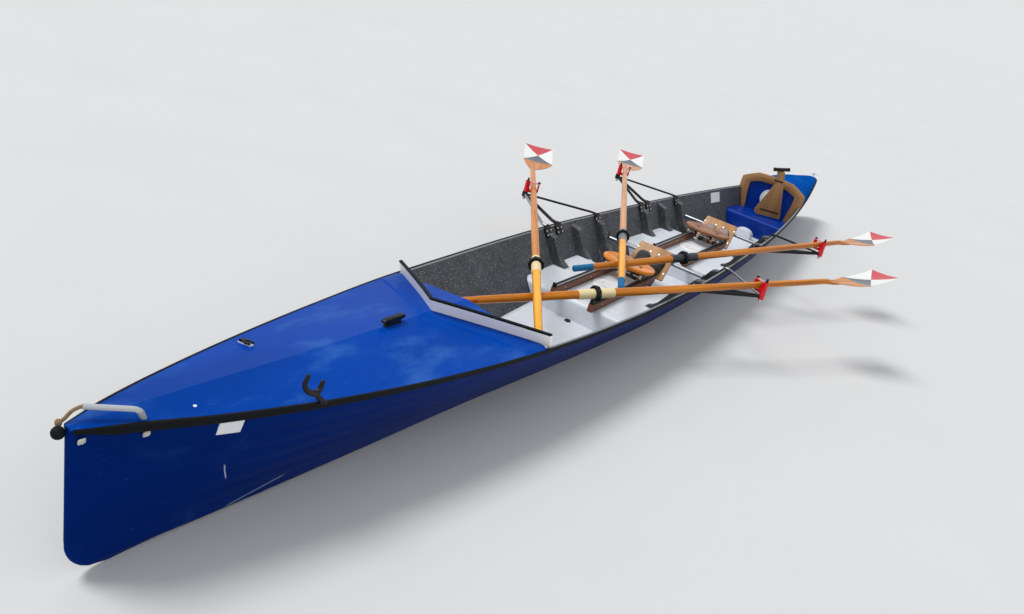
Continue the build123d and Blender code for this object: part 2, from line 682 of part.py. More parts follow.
def make_lock(scull):
    """Swivel lock round the pin, with a sill, a face, a horn and a shut gate."""
    frame = scull_plane(scull, lock_sill(scull))
    to_shaft = -scull.side  # the pin is on the bow side of the shaft
    half = SHAFT_COLLAR_R + LOCK_CLEAR
    near, far = to_shaft * (SHAFT_OFFSET - half), to_shaft * (SHAFT_OFFSET + half + HORN_T)

    def bar(length, a, b, z0, z1):
        return Pos(0, (a + b) / 2, (z0 + z1) / 2) * Box(length, abs(b - a), z1 - z0)

    body = Pos(0, 0, LOCK_H / 2) * Cylinder(LOCK_SLEEVE_R, LOCK_H)
    body = body + bar(LOCK_L, 0, far, 0, LOCK_SILL_T)
    body = body + bar(LOCK_L, near - to_shaft * LOCK_FACE_T, near, 0, LOCK_H - GATE_T)
    body = body + bar(HORN_L, far - to_shaft * HORN_T, far, 0, LOCK_H)
    body = body + bar(GATE_L, 0, far, LOCK_H - GATE_T, LOCK_H)
    body = body - Pos(0, 0, LOCK_H / 2) * Cylinder(PIN_R + PIN_CLEAR, LOCK_H * 2)
    return frame * body


def make_scull(scull):
    """Shaft with its blade, sleeve with button, and grip, lying through the lock."""
    frame = scull_plane(scull, scull.shaft_z) * Pos(0, -scull.side * SHAFT_OFFSET, 0) * Rot(0, scull.tilt, 0)
    handle = SCULL_L - scull.tip_out  # from the lock to the end of the handle

    def at(from_handle):
        return frame * Pos(handle - from_handle, 0, 0) * Rot(0, -90, 0)

    grip = at(0) * Pos(0, 0, GRIP_L / 2) * Cylinder(GRIP_R, GRIP_L)
    save(grip, f"{scull.name}_scull_grip")

    def cone(start, end, r0, r1):
        return at(start) * Pos(0, 0, (end - start) / 2) * Cone(r0, r1, end - start)

    neck = SCULL_L - BLADE_L
    shaft = cone(GRIP_L, COLLAR_AT, SHAFT_HANDLE_R, SHAFT_COLLAR_R)
    shaft = shaft + cone(COLLAR_AT, neck + SHAFT_ON_BLADE, SHAFT_COLLAR_R, SHAFT_END_R)
    broad = scull.side * scull.broad
    flare = BLADE_L - BLADE_PAINTED
    narrow = [(0, -SHAFT_NECK_R), (flare, -BLADE_NARROW_W), (BLADE_L, -BLADE_NARROW_W)]
    wide = [(BLADE_L, BLADE_BROAD_W), (flare, BLADE_BROAD_W), (0, SHAFT_NECK_R)]
    outline = Polyline(*[(handle - neck - u, broad * v) for u, v in narrow + wide], close=True)
    plan = extrude(make_face(outline), amount=BLADE_L, both=True)
    hollow, tip = -BLADE_DIP, BLADE_RISE
    under = ThreePointArc((handle - neck, 0), (handle - neck - BLADE_L / 2, hollow), (handle - SCULL_L, tip))
    over = ThreePointArc((handle - SCULL_L, tip + BLADE_T), (handle - neck - BLADE_L / 2, hollow + BLADE_T),
                         (handle - neck, BLADE_T))
    side_view = Plane.XZ * make_face(under + Line(under @ 1, over @ 0) + over + Line(over @ 1, under @ 0))
    spoon = plan & extrude(side_view, amount=BLADE_L, both=True)
    shaft = shaft + frame * spoon
    save(shaft, f"{scull.name}_scull_shaft")
    r_out = SHAFT_COLLAR_R + SLEEVE_T
    sleeve = at(COLLAR_AT - SLEEVE_L / 2) * Pos(0, 0, SLEEVE_L / 2) * Cylinder(r_out, SLEEVE_L)
    button = at(COLLAR_AT - BUTTON_T / 2) * Pos(0, 0, BUTTON_T / 2) * Cylinder(BUTTON_R, BUTTON_T)
    save((sleeve + button) - shaft, f"{scull.name}_scull_sleeve")


def make_rudder():
    """Wooden rudder blade and its yoke, stood on the seat against the backrest."""
    heel = Vector(x_at(RUDDER_FOOT[0]), RUDDER_FOOT[1], SEAT_TOP + RUDDER_LIFT)
    across = Vector(x_at(RUDDER_FOOT_FORE[0]), RUDDER_FOOT_FORE[1], heel.Z) - heel
    base = Plane(origin=heel, x_dir=across, z_dir=Vector(across.Y, -across.X, 0))
    lean = math.tan(math.radians(RUDDER_LEAN_SIDE))
    toe = [(across.length + out, up) for out, up in RUDDER_TOE]
    neck = (RUDDER_HEAD_W + lean * RUDDER_H * RUDDER_NECK, RUDDER_H - RUDDER_HEAD_H)
    head = [(RUDDER_HEAD_W + lean * RUDDER_H, RUDDER_H), (lean * RUDDER_H, RUDDER_H)]
    blade = make_face(Polyline((0, 0), *toe, neck, *head, close=True))
    save(extrude(base * blade, amount=RUDDER_T / 2, both=True), "rudder_blade")
    yoke = base * Pos(RUDDER_HEAD_W / 2 + lean * RUDDER_H, RUDDER_H + YOKE_H / 2, 0)
    save(yoke * Box(YOKE_L, YOKE_H, YOKE_W), "rudder_yoke")


def make_bow_handle(shell, below_deck, fenders):
    """Ball on the stem, and the hose-covered rope handle from the port deck edge to the stem."""
    ball = Pos(x_at(0) + BOW_BALL_R - BOW_BALL_SET_IN, -BOW_BALL_DROP, hull_at(0).sheer - BOW_BALL_DROP)
    ball = ball * Sphere(BOW_BALL_R) - shell
    save(ball, "bow_ball")
    foot = hull_at(HOSE_FOOT_AFT)
    start = Vector(x_at(HOSE_FOOT_AFT), foot.half_beam - HOSE_FOOT_IN, foot.sheer + DECK_T)
    rise = start + Vector(HOSE_RISE_FORE, 0, HOSE_RISE)
    fore = Vector(x_at(HOSE_END_AFT), ROPE_END_Y / 3, hull_at(HOSE_END_AFT).sheer + HOSE_END_RISE)
    end = Vector(x_at(0), ROPE_END_Y, hull_at(0).sheer + ROPE_R)
    path = FilletPolyline(start, rise, fore, radius=[HOSE_BEND_R])
    hose = sweep(Plane(origin=path @ 0, z_dir=path % 0) * Circle(HOSE_R), path=path)
    hose = hose - below_deck - fenders
    save(hose, "bow_handle_hose")
    knots = [rod(tuple(fore), tuple(end), ROPE_R) + Pos(*end) * Sphere(KNOT_R)]
    for aft in KNOTS_AFT:
        lines = hull_at(aft)
        lean = (lines.half_beam - lines.bilge_y) / (lines.sheer - lines.bilge_z)
        y = lines.half_beam - KNOT_DROP * lean + KNOT_R
        knots.append(Pos(x_at(aft), y, lines.sheer - KNOT_DROP) * Sphere(KNOT_R * KNOT_BULGE))
    knots = [knot - hose - ball - shell - below_deck - fenders for knot in knots]
    save(Compound(children=knots), "bow_handle_rope")


def make_deck_fittings(below_deck):
    """Cleat on the ridge and a forked clip at each deck edge."""
    lines = hull_at(CLEAT_AFT)
    foot = Pos(x_at(CLEAT_AFT), 0, lines.sheer + lines.crown + DECK_T)
    cleat = foot * Box(CLEAT_LENGTH / 2, CLEAT_W, 2 * CLEAT_H)
    horns = foot * Pos(0, 0, CLEAT_H - CLEAT_HORN_T / 2) * Box(CLEAT_LENGTH, CLEAT_W, CLEAT_HORN_T)
    save(cleat + horns - below_deck, "bow_cleat")
    lines = hull_at(FORK_AFT)
    z = lines.sheer + DECK_T + lines.crown * (1 - FORK_Y / lines.half_beam)
    clips = []
    for y in (-FORK_Y, FORK_Y):
        foot, top = Vector(x_at(FORK_AFT), y, z), Vector(x_at(FORK_AFT) + FORK_STEM[0], y, z + FORK_STEM[1])
        clip = Pos(*foot) * Cylinder(FORK_BASE_R, 2 * FORK_BASE_H) + rod(tuple(foot), tuple(top), FORK_STEM_R)
        for fore, up in FORK_PRONGS:
            clip = clip + rod(tuple(top), (x_at(FORK_AFT) + fore, y, z + up), FORK_PRONG_R)
        clips.append(clip - below_deck)
    save(Compound(children=clips), "deck_fork_clips")


def make_stern_fittings(shell):
    """Staff socket on the tip of the stern deck and two rudder gudgeons, in line, on the sternpost."""
    aft = LENGTH - SOCKET_FROM_STERN
    lines = hull_at(aft)
    foot = Vector(x_at(aft), 0, lines.sheer + lines.crown)
    socket = Pos(*foot) * Pos(0, 0, SOCKET_H / 2) * Cylinder(SOCKET_R + SOCKET_WALL, SOCKET_H)
    low, high = SOCKET_LEG_RISE
    for side in (-1, 1):
        leg_end = foot + Vector(-SOCKET_LEG[0], side * SOCKET_LEG[1], high)
        socket = socket + rod(tuple(foot + Vector(0, 0, low)), tuple(leg_end), SOCKET_LEG_R)
    socket = socket - Pos(*foot) * Pos(0, 0, SOCKET_FLOOR + SOCKET_H / 2) * Cylinder(SOCKET_R, SOCKET_H)
    save(socket - stern_deck_form(), "stern_staff_socket")
    radius = GUDGEON_BORE_R + GUDGEON_WALL
    post = [x_at(LENGTH) + STERN_RAKE * (1 - height / hull_at(LENGTH).sheer) for height in GUDGEON_Z]
    axis_x = min(post) - GUDGEON_GAP - radius
    gudgeons = []
    for height, post_x in zip(GUDGEON_Z, post):
        eye = Pos(axis_x, 0, height) * Cylinder(radius, GUDGEON_L)
        reach = post_x + radius - axis_x
        strap = Pos(axis_x + reach / 2, 0, height) * Box(reach, 2 * GUDGEON_WALL, GUDGEON_L)
        bore = Pos(axis_x, 0, height) * Cylinder(GUDGEON_BORE_R, GUDGEON_L * 2)
        gudgeons.append(eye + strap - bore - shell)
    save(Compound(children=gudgeons), "rudder_gudgeons")


def make_stern_seat(shell, liner, fenders):
    """The cox's seat, the arch behind it and the round hatch in the bulkhead."""
    room = inner_form(SHELL + LINER) & outer_form()
    top = block(SEAT_FRONT, STERN_BULKHEAD, -WIDE, WIDE, SEAT_TOP - SHELL, SEAT_TOP)
    front = block(SEAT_FRONT, SEAT_FRONT + SHELL, -WIDE, WIDE, SOLE_TOP, SEAT_TOP)
    save(room & (top + front), "cox_seat")
    save(make_coaming() - shell - liner - fenders - stern_deck_form(), "cox_backrest_arch")
    hatch = Pos(x_at(STERN_BULKHEAD) + HATCH_T / 2, 0, SEAT_TOP + HATCH_ABOVE_SEAT)
    save(hatch * Rot(0, 90, 0) * Cylinder(HATCH_R, HATCH_T), "stern_hatch_cover")


def make_bulkheads():
    """Walls across the hull under the splashboard and behind the cox's seat."""
    margin = 2 * SHELL
    under_fore = polygon_loft(FORE_BULKHEAD - margin, FORE_BULKHEAD + margin, under_deck_outline)
    save(bulkhead(FORE_BULKHEAD, under_fore), "fore_bulkhead")
    under_stern = polygon_loft(STERN_BULKHEAD - margin, STERN_BULKHEAD + margin, arc_outline(-DECK_T))
    save(bulkhead(STERN_BULKHEAD, under_stern), "stern_bulkhead")


def main():
    os.makedirs("parts", exist_ok=True)
    shell, liner, foredeck = make_hull_shell(), make_cockpit_liner(), make_foredeck()
    fenders = make_fenders() - shell
    save(shell, "hull_shell")
    save(liner, "cockpit_liner")
    save(make_sole(), "sole")
    save(foredeck, "foredeck")
    save(make_stern_deck(), "stern_deck")
    save(fenders, "gunwale_fenders")
    make_platforms(liner)
    make_bulkheads()
    board = splash_board(-DECK_T, SPLASH_H - SPLASH_TRIM_H, SPLASH_T)
    save(board - foredeck - shell - liner - fenders, "splashboard")
    save(splash_board(SPLASH_H - SPLASH_TRIM_H, SPLASH_H, SPLASH_TRIM_T), "splashboard_trim")
    make_stern_seat(shell, liner, fenders)
    save(Pos(x_at(PLUG_AFT), 0, SOLE_TOP + PLUG_H / 2) * Cylinder(PLUG_R, PLUG_H), "drain_plug")
    for rower in ROWERS:
        make_slides(rower)
        make_seat(rower)
        make_stretcher(rower, liner)
        for side, name in ((1, "port"), (-1, "starboard")):
            save(make_rigger(rower, side) - shell - liner - fenders, f"{rower.name}_{name}_rigger")
    for scull in SCULLS:
        save(make_lock(scull), f"{scull.name}_oarlock")
        make_scull(scull)
    make_rudder()
    below_deck = polygon_loft(DECK_START, SPLASH_APEX, below_deck_outline)
    make_bow_handle(shell, below_deck, fenders)
    make_deck_fittings(below_deck)
    make_stern_fittings(shell)


main()
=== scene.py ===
"""A coxed double-sculling boat, ashore on the flat of its bottom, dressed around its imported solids.

Everything is in metres in the boat's own frame: +X to the bow, +Y to port, +Z up, with the origin half way
along on the flat of the keel. "aft" is a distance back from the stem head.
"""

import functools
import logging
import math
from collections.abc import Callable, Iterable, Sequence
from dataclasses import dataclass, field
from enum import Enum

import bmesh
import bpy
from mathutils import Matrix, Vector


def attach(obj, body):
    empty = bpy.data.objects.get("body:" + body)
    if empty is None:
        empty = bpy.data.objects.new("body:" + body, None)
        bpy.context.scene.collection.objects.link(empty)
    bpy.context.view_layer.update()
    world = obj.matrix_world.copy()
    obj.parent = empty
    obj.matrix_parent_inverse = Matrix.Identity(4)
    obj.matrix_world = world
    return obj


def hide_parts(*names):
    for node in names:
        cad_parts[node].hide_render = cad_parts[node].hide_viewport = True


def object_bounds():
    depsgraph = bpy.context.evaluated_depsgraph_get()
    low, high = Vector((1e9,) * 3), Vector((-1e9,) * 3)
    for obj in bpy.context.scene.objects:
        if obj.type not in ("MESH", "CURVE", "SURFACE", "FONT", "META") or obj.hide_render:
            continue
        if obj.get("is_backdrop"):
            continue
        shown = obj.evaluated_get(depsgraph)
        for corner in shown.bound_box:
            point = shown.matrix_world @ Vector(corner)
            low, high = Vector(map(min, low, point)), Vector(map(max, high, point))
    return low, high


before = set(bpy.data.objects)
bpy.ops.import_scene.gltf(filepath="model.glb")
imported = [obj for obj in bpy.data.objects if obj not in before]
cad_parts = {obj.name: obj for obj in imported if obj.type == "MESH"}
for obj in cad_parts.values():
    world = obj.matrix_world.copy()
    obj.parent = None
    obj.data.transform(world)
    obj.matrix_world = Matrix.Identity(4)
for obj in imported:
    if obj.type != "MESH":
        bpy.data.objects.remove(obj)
CAD_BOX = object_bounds()

logging.basicConfig(level=logging.INFO, format="%(message)s")
log = logging.getLogger("boat")

Color = tuple[float, float, float]
Pair = tuple[float, float]
Outline = list[Pair]
Rows = Sequence[Sequence[Vector]]
SMOOTH_ANGLE = math.radians(32)
BEVEL_ANGLE = math.radians(38)


class Side(Enum):
    """The two sides of the boat, by the sign of Y."""

    PORT = 1
    STARBOARD = -1

    @property
    def word(self) -> str:
        """Name as node names have it."""
        return self.name.lower()


def srgb(red: int, green: int, blue: int) -> Color:
    """Turn a colour as seen on a screen into the linear values that shaders take.

    Args:
        red: Red, 0 to 255.
        green: Green, 0 to 255.
        blue: Blue, 0 to 255.

    Returns:
        The linear colour.
    """
    values = []
    for channel in (red, green, blue):
        share = channel / 255
        values.append(share / 12.92 if share <= 0.04045 else ((share + 0.055) / 1.055) ** 2.4)
    return tuple(values)


def ease(share: float) -> float:
    """Smooth step from 0 to 1."""
    share = min(max(share, 0.0), 1.0)
    return share * share * (3 - 2 * share)


def steps(first: float, last: float, count: int) -> list[float]:
    """Evenly spaced values from first to last, both included."""
    return [first + (last - first) * k / (count - 1) for k in range(count)]


# Lines of the hull


@dataclass(frozen=True)
class Lines:
    """Smooth lines of the hull, through the stations of its lines plan."""

    length: float = 8.225
    keel_drop: float = 0.010
    stem_rake: float = 0.028
    forefoot: float = 0.130
    stern_rake: float = 0.030
    heel: float = 0.200
    nose: float = 0.015
    tail: float = 0.024
    # share of the length, half beam, sheer, crown, bilge y, bilge z, bilge radius
    table: tuple[tuple[float, ...], ...] = (
        (0.0000, 0.014, 0.505, 0.004, 0.009, 0.030, 0.009),
        (0.0180, 0.061, 0.499, 0.008, 0.014, 0.020, 0.012),
        (0.0486, 0.138, 0.477, 0.022, 0.031, 0.012, 0.020),
        (0.0972, 0.236, 0.446, 0.034, 0.057, 0.008, 0.035),
        (0.1519, 0.320, 0.420, 0.047, 0.086, 0.006, 0.050),
        (0.2187, 0.396, 0.398, 0.054, 0.120, 0.006, 0.070),
        (0.2916, 0.443, 0.380, 0.060, 0.172, 0.006, 0.090),
        (0.3645, 0.471, 0.371, 0.060, 0.218, 0.006, 0.110),
        (0.4374, 0.480, 0.367, 0.060, 0.250, 0.006, 0.120),
        (0.5346, 0.458, 0.363, 0.060, 0.260, 0.006, 0.120),
        (0.6440, 0.414, 0.365, 0.060, 0.242, 0.006, 0.115),
        (0.7412, 0.343, 0.370, 0.100, 0.194, 0.006, 0.095),
        (0.8140, 0.271, 0.376, 0.145, 0.142, 0.007, 0.075),
        (0.8748, 0.202, 0.382, 0.130, 0.092, 0.009, 0.050),
        (0.9356, 0.124, 0.389, 0.080, 0.047, 0.013, 0.028),
        (0.9817, 0.060, 0.397, 0.038, 0.022, 0.022, 0.014),
        (1.0000, 0.028, 0.400, 0.014, 0.012, 0.030, 0.009),
    )

    def x(self, aft: float) -> float:
        """X of a place given by its distance aft of the stem head."""
        return self.length / 2 - aft

    def slope(self, station: int, column: int) -> float:
        """Slope of a column at a station, flat at a peak so that the curve never overshoots."""
        here, last = self.table[station], len(self.table) - 1
        near = [self.table[k] for k in (station - 1, station + 1) if 0 <= k <= last]
        slopes = [(row[column] - here[column]) / (row[0] - here[0]) for row in near]
        if len(slopes) == 1:
            return slopes[0]
        before, after = slopes
        return 0.0 if before * after <= 0 else 2 * before * after / (before + after)

    @functools.cache
    def at(self, aft: float) -> tuple[float, ...]:
        """Half beam, sheer, crown, bilge y, bilge z and bilge radius at a place.

        Args:
            aft: Distance aft of the stem head.

        Returns:
            The six values, on smooth curves through the table.
        """
        share = min(max(aft / self.length, 0.0), 1.0)
        index = max(k for k in range(len(self.table) - 1) if self.table[k][0] <= share)
        low, high = self.table[index], self.table[index + 1]
        span = high[0] - low[0]
        t = (share - low[0]) / span
        values = []
        for column in range(1, len(low)):
            a, b = low[column], high[column]
            m, n = self.slope(index, column) * span, self.slope(index + 1, column) * span
            curve = a * (2 * t**3 - 3 * t**2 + 1) + m * (t**3 - 2 * t**2 + t)
            values.append(curve + b * (3 * t**2 - 2 * t**3) + n * (t**3 - t**2))
        return tuple(values)

    def beam(self, aft: float) -> float:
        """Half beam at the gunwale."""
        return self.at(aft)[0]

    def sheer(self, aft: float) -> float:
        """Height of the gunwale."""
        return self.at(aft)[1]

    def ridge(self, aft: float) -> float:
        """Height of the underside of a deck on the centreline."""
        return self.at(aft)[1] + self.at(aft)[2]

    def lean(self, aft: float) -> float:
        """Outward run of the topside for each metre of height."""
        half, sheer, _, bilge_y, bilge_z, _ = self.at(aft)
        return (half - bilge_y) / (sheer - bilge_z)

    def corners(self, aft: float, inset: float) -> tuple[Pair, Pair, float, float, float, Pair, Pair]:
        """Shape of a half section moved in by inset.

        Args:
            aft: Distance aft of the stem head.
            inset: How far inside the outer surface.

        Returns:
            Gunwale, centre of the bilge arc, its radius, the angles of bottom and side, the end of the
            bottom plane at the arc, and the keel.
        """
        half, sheer, _, bilge_y, bilge_z, bilge_r = self.at(aft)
        bottom = math.atan2(bilge_z + self.keel_drop, bilge_y)
        side = math.atan2(sheer - bilge_z, half - bilge_y)
        keel_z = -self.keel_drop + inset / math.cos(bottom)
        side_y, side_z = bilge_y - inset * math.sin(side), bilge_z + inset * math.cos(side)
        slope_b, slope_s = math.tan(bottom), math.tan(side)
        corner_y = (keel_z - side_z + slope_s * side_y) / (slope_s - slope_b)
        corner_z = keel_z + slope_b * corner_y
        gunwale = (corner_y + (sheer - corner_z) / slope_s, sheer)
        radius = max(bilge_r - inset, 0.002)
        reach = radius * math.tan((side - bottom) / 2)
        on_bottom = (corner_y - reach * math.cos(bottom), corner_z - reach * math.sin(bottom))
        centre = (on_bottom[0] - radius * math.sin(bottom), on_bottom[1] + radius * math.cos(bottom))
        return gunwale, centre, radius, bottom, side, on_bottom, (0.0, keel_z)

    def wall_y(self, aft: float, height: float, inset: float) -> float:
        """Half breadth at a height, inside the outer surface by inset.

        Args:
            aft: Distance aft of the stem head.
            height: Height above the flat of the keel.
            inset: How far inside the outer surface.

        Returns:
            The half breadth.
        """
        gunwale, centre, radius, _, side, on_bottom, keel = self.corners(aft, inset)
        side_foot = centre[1] - radius * math.cos(side)
        if height >= side_foot:
            return gunwale[0] - (gunwale[1] - height) / math.tan(side)
        if height >= on_bottom[1]:
            return centre[0] + math.sqrt(max(radius**2 - (centre[1] - height) ** 2, 0.0))
        return on_bottom[0] * max(height - keel[1], 0.0) / (on_bottom[1] - keel[1])

    def end_rake(self, aft: float, height: float) -> float:
        """How far a point moves aft so that the rows follow the stem and the sternpost.

        Args:
            aft: Distance aft of the stem head, before the move.
            height: Height of the point.

        Returns:
            The move, aft at the bow and forward at the stern.
        """
        stem = self.stem_rake * (1 - height / self.sheer(0.0))
        stem += self.forefoot - math.sqrt(self.forefoot**2 - max(self.forefoot - height, 0.0) ** 2)
        stern = self.stern_rake * (1 - height / self.sheer(self.length))
        stern += self.heel - math.sqrt(self.heel**2 - max(self.heel - height, 0.0) ** 2)
        reach = 0.9
        return stem * (1 - ease(aft / reach)) - stern * (1 - ease((self.length - aft) / reach))

    def rounding(self, aft: float) -> float:
        """Share of its breadth that the hull keeps near its rounded ends."""
        ahead, behind = min(aft / self.nose, 1.0), min((self.length - aft) / self.tail, 1.0)
        return math.sqrt(max(1 - (1 - ahead) ** 2, 0.0)) * math.sqrt(max(1 - (1 - behind) ** 2, 0.0))


HULL = Lines()


@dataclass(frozen=True)
class Build:
    """Sizes that several sub-assemblies share."""

    shell: float = 0.006
    liner: float = 0.004
    deck: float = 0.005
    sole: float = 0.066
    platform: float = 0.183
    fore_bulkhead: float = 1.480
    stern_bulkhead: float = 6.640
    seat_front: float = 6.320
    seat_top: float = 0.220
    fender_width: float = 0.012
    fender_height: float = 0.024
    pin_y: float = 0.800
    rail_y: float = 0.118
    rail_top: float = 0.241

    @property
    def inner(self) -> float:
        """From the outer surface to the inner face of the cockpit wall."""
        return self.shell + self.liner


SIZES = Build()


@dataclass(frozen=True)
class Rower:
    """One rowing station: its places are distances aft of its pins."""

    name: str
    pin_aft: float
    ribs: tuple[float, float, float]
    stays: tuple[float, float, float]
    tube_aft: float
    rail_aft: float


ROWERS = (
    Rower("bow", 3.670, (-0.250, 0.080, 0.400), (-0.262, -0.127, 0.400), 0.440, 0.172),
    Rower("stroke", 5.090, (-0.330, -0.020, 0.280), (-0.340, -0.235, 0.265), 0.312, 0.130),
)


# Shader node groups


class Graph:
    """Short way to add and join shader nodes in one tree."""

    def __init__(self, tree: bpy.types.NodeTree) -> None:
        """Keep the tree that nodes are added to."""
        self.tree = tree

    def add(self, kind: str, **settings: object) -> bpy.types.Node:
        """Add a node.

        Args:
            kind: The node's type name, without its ShaderNode prefix.
            settings: Properties of the node, and values of inputs by their names in lower case.

        Returns:
            The node.
        """
        node = self.tree.nodes.new("ShaderNode" + kind)
        self.fill(node, **settings)
        return node

    def fill(self, node: bpy.types.Node, **settings: object) -> None:
        """Give a node its inputs, by their names in lower case, and its properties."""
        inputs = {socket.name.lower().replace(" ", "_"): socket for socket in reversed(node.inputs)}
        for name, value in settings.items():
            if name in inputs:
                self.set(inputs[name], value)
            else:
                setattr(node, name, value)

    def set(self, socket: bpy.types.NodeSocket, value: object) -> None:
        """Join a socket to another one, or give it a constant."""
        if isinstance(value, bpy.types.NodeSocket):
            self.tree.links.new(value, socket)
        elif isinstance(value, tuple) and len(value) == 3 and socket.type == "RGBA":
            socket.default_value = (*value, 1.0)
        else:
            socket.default_value = value

    def math(self, operation: str, *values: object) -> bpy.types.NodeSocket:
        """Result of a Math node on sockets and numbers."""
        node = self.add("Math", operation=operation)
        for socket, value in zip(node.inputs, values):
            self.set(socket, value)
        return node.outputs[0]

    def span(self, value: object, low: object, high: object) -> bpy.types.NodeSocket:
        """Map a value from one range to 0 to 1, clamped and smooth."""
        node = self.add("MapRange", interpolation_type="SMOOTHSTEP")
        for index, item in enumerate((value, low, high)):
            self.set(node.inputs[index], item)
        return node.outputs[0]

    def mix(self, share: object, first: object, second: object) -> bpy.types.NodeSocket:
        """Mix two colours."""
        node = self.add("Mix", data_type="RGBA")
        for index, value in ((0, share), (6, first), (7, second)):
            self.set(node.inputs[index], value)
        return node.outputs[2]

    def noise(self, vector: object, scale: object, detail: float = 3.0, rough: float = 0.5,
              **more: float) -> bpy.types.NodeSocket:
        """Value of a Noise texture."""
        node = self.add("TexNoise", vector=vector, scale=scale, detail=detail, roughness=rough, **more)
        return node.outputs[0]

    def times(self, *values: object) -> bpy.types.NodeSocket:
        """Product of sockets and numbers."""
        return functools.reduce(functools.partial(self.math, "MULTIPLY"), values)

    def near(self, vector: object, start: Pair, end: Pair, width: float) -> bpy.types.NodeSocket:
        """Ragged mask of what lies near a line on the port side.

        Args:
            vector: Coordinates of the surface.
            start: X and Z of one end.
            end: X and Z of the other end.
            width: How far the mask reaches from the line.

        Returns:
            The mask.
        """
        run, rise = end[0] - start[0], end[1] - start[1]
        length = math.hypot(run, rise)
        parts = self.add("SeparateXYZ", vector=vector).outputs
        x, z = self.math("SUBTRACT", parts[0], start[0]), self.math("SUBTRACT", parts[2], start[1])
        along = self.math("ADD", self.times(x, run / length), self.times(z, rise / length))
        aside = self.math("SUBTRACT", self.times(x, rise / length), self.times(z, run / length))
        past = self.math("ABSOLUTE", self.math("SUBTRACT", along, length / 2))
        ends = self.span(past, length / 2, length / 2 - 0.02)
        reach = self.times(self.noise(vector, 60.0, detail=4.0, rough=0.7), width * 2)
        ragged = self.span(self.math("ABSOLUTE", aside), reach, width * 0.25)
        return self.times(ends, ragged, self.math("GREATER_THAN", parts[1], 0.0))

    def stretch(self, vector: object, scale: object) -> bpy.types.NodeSocket:
        """Multiply a vector by another one."""
        node = self.add("VectorMath", operation="MULTIPLY")
        self.set(node.inputs[0], vector)
        self.set(node.inputs[1], scale)
        return node.outputs[0]


Socket = tuple[str, str, object]
NUMBER, TINT, ARROW = "NodeSocketFloat", "NodeSocketColor", "NodeSocketVector"


def open_group(name: str, inputs: Sequence[Socket], outputs: Sequence[Socket]) -> tuple[Graph, dict, dict]:
    """Start a shader node group with named sockets.

    Args:
        name: The group's name.
        inputs: Name, socket type and default of each input.
        outputs: The same for each output.

    Returns:
        The group's graph, its input sockets by name, and the sockets of its output node by name.
    """
    tree = bpy.data.node_groups.new(name, "ShaderNodeTree")
    for in_out, sockets in (("INPUT", inputs), ("OUTPUT", outputs)):
        for label, kind, default in sockets:
            socket = tree.interface.new_socket(label, in_out=in_out, socket_type=kind)
            if default is not None:
                socket.default_value = (*default, 1.0) if kind == TINT else default
    entry, result = tree.nodes.new("NodeGroupInput"), tree.nodes.new("NodeGroupOutput")
    return Graph(tree), {s.name: s for s in entry.outputs}, {s.name: s for s in result.inputs}


@functools.cache
def grain_group() -> bpy.types.NodeTree:
    """Straight wood grain along the local X, with slow colour drift, fine pores and a few dark streaks."""
    inputs = (("Vector", ARROW, None), ("Light", TINT, (0.6, 0.3, 0.1)), ("Dark", TINT, (0.2, 0.08, 0.03)),
              ("Scale", NUMBER, 40.0), ("Contrast", NUMBER, 0.6))
    graph, given, out = open_group("wood grain", inputs, (("Color", TINT, None), ("Pores", NUMBER, None)))
    vector, scale = given["Vector"], given["Scale"]
    slow = graph.noise(graph.stretch(vector, (0.6, 6.0, 6.0)), 2.0)
    wide = graph.noise(graph.stretch(vector, (0.05, 1.0, 1.0)), scale, 4.0, 0.55, distortion=0.4)
    fine = graph.noise(graph.stretch(vector, (0.02, 1.0, 1.0)), graph.times(scale, 9.0), 2.0)
    band = graph.math("ADD", graph.span(wide, 0.35, 0.68), graph.times(slow, 0.45))
    share = graph.times(graph.math("SUBTRACT", band, 0.2), given["Contrast"])
    pores = graph.span(fine, 0.60, 0.72)
    tint = graph.mix(share, given["Light"], given["Dark"])
    graph.set(out["Color"], graph.mix(graph.times(pores, 0.45), tint, given["Dark"]))
    graph.set(out["Pores"], pores)
    return graph.tree


@functools.cache
def wear_group() -> bpy.types.NodeTree:
    """Dust that lies on top, rubbed patches and short scratches, laid over a colour."""
    inputs = (("Vector", ARROW, None), ("Color", TINT, (0.5, 0.5, 0.5)), ("Worn", TINT, (0.7, 0.7, 0.7)),
              ("Scale", NUMBER, 6.0), ("Scuffs", NUMBER, 0.3), ("Dust", NUMBER, 0.2))
    outputs = (("Color", TINT, None), ("Mask", NUMBER, None), ("Height", NUMBER, None))
    graph, given, out = open_group("wear", inputs, outputs)
    vector = given["Vector"]
    rubbed = graph.span(graph.noise(vector, given["Scale"], 6.0, 0.65), 0.60, 0.75)
    lines = graph.span(graph.noise(graph.stretch(vector, (3.0, 60.0, 18.0)), 4.0, 2.0), 0.70, 0.74)
    scuff = graph.times(graph.math("MAXIMUM", graph.times(rubbed, 0.5), lines), given["Scuffs"])
    up = graph.add("SeparateXYZ", vector=graph.add("NewGeometry").outputs["Normal"]).outputs[2]
    film = graph.noise(vector, 23.0, detail=5.0, rough=0.7)
    dust = graph.times(graph.span(up, 0.2, 0.95), graph.span(film, 0.30, 0.80), given["Dust"])
    mask = graph.math("MAXIMUM", scuff, dust)
    graph.set(out["Color"], graph.mix(mask, given["Color"], given["Worn"]))
    graph.set(out["Mask"], mask)
    graph.set(out["Height"], graph.math("SUBTRACT", 1.0, scuff))
    return graph.tree


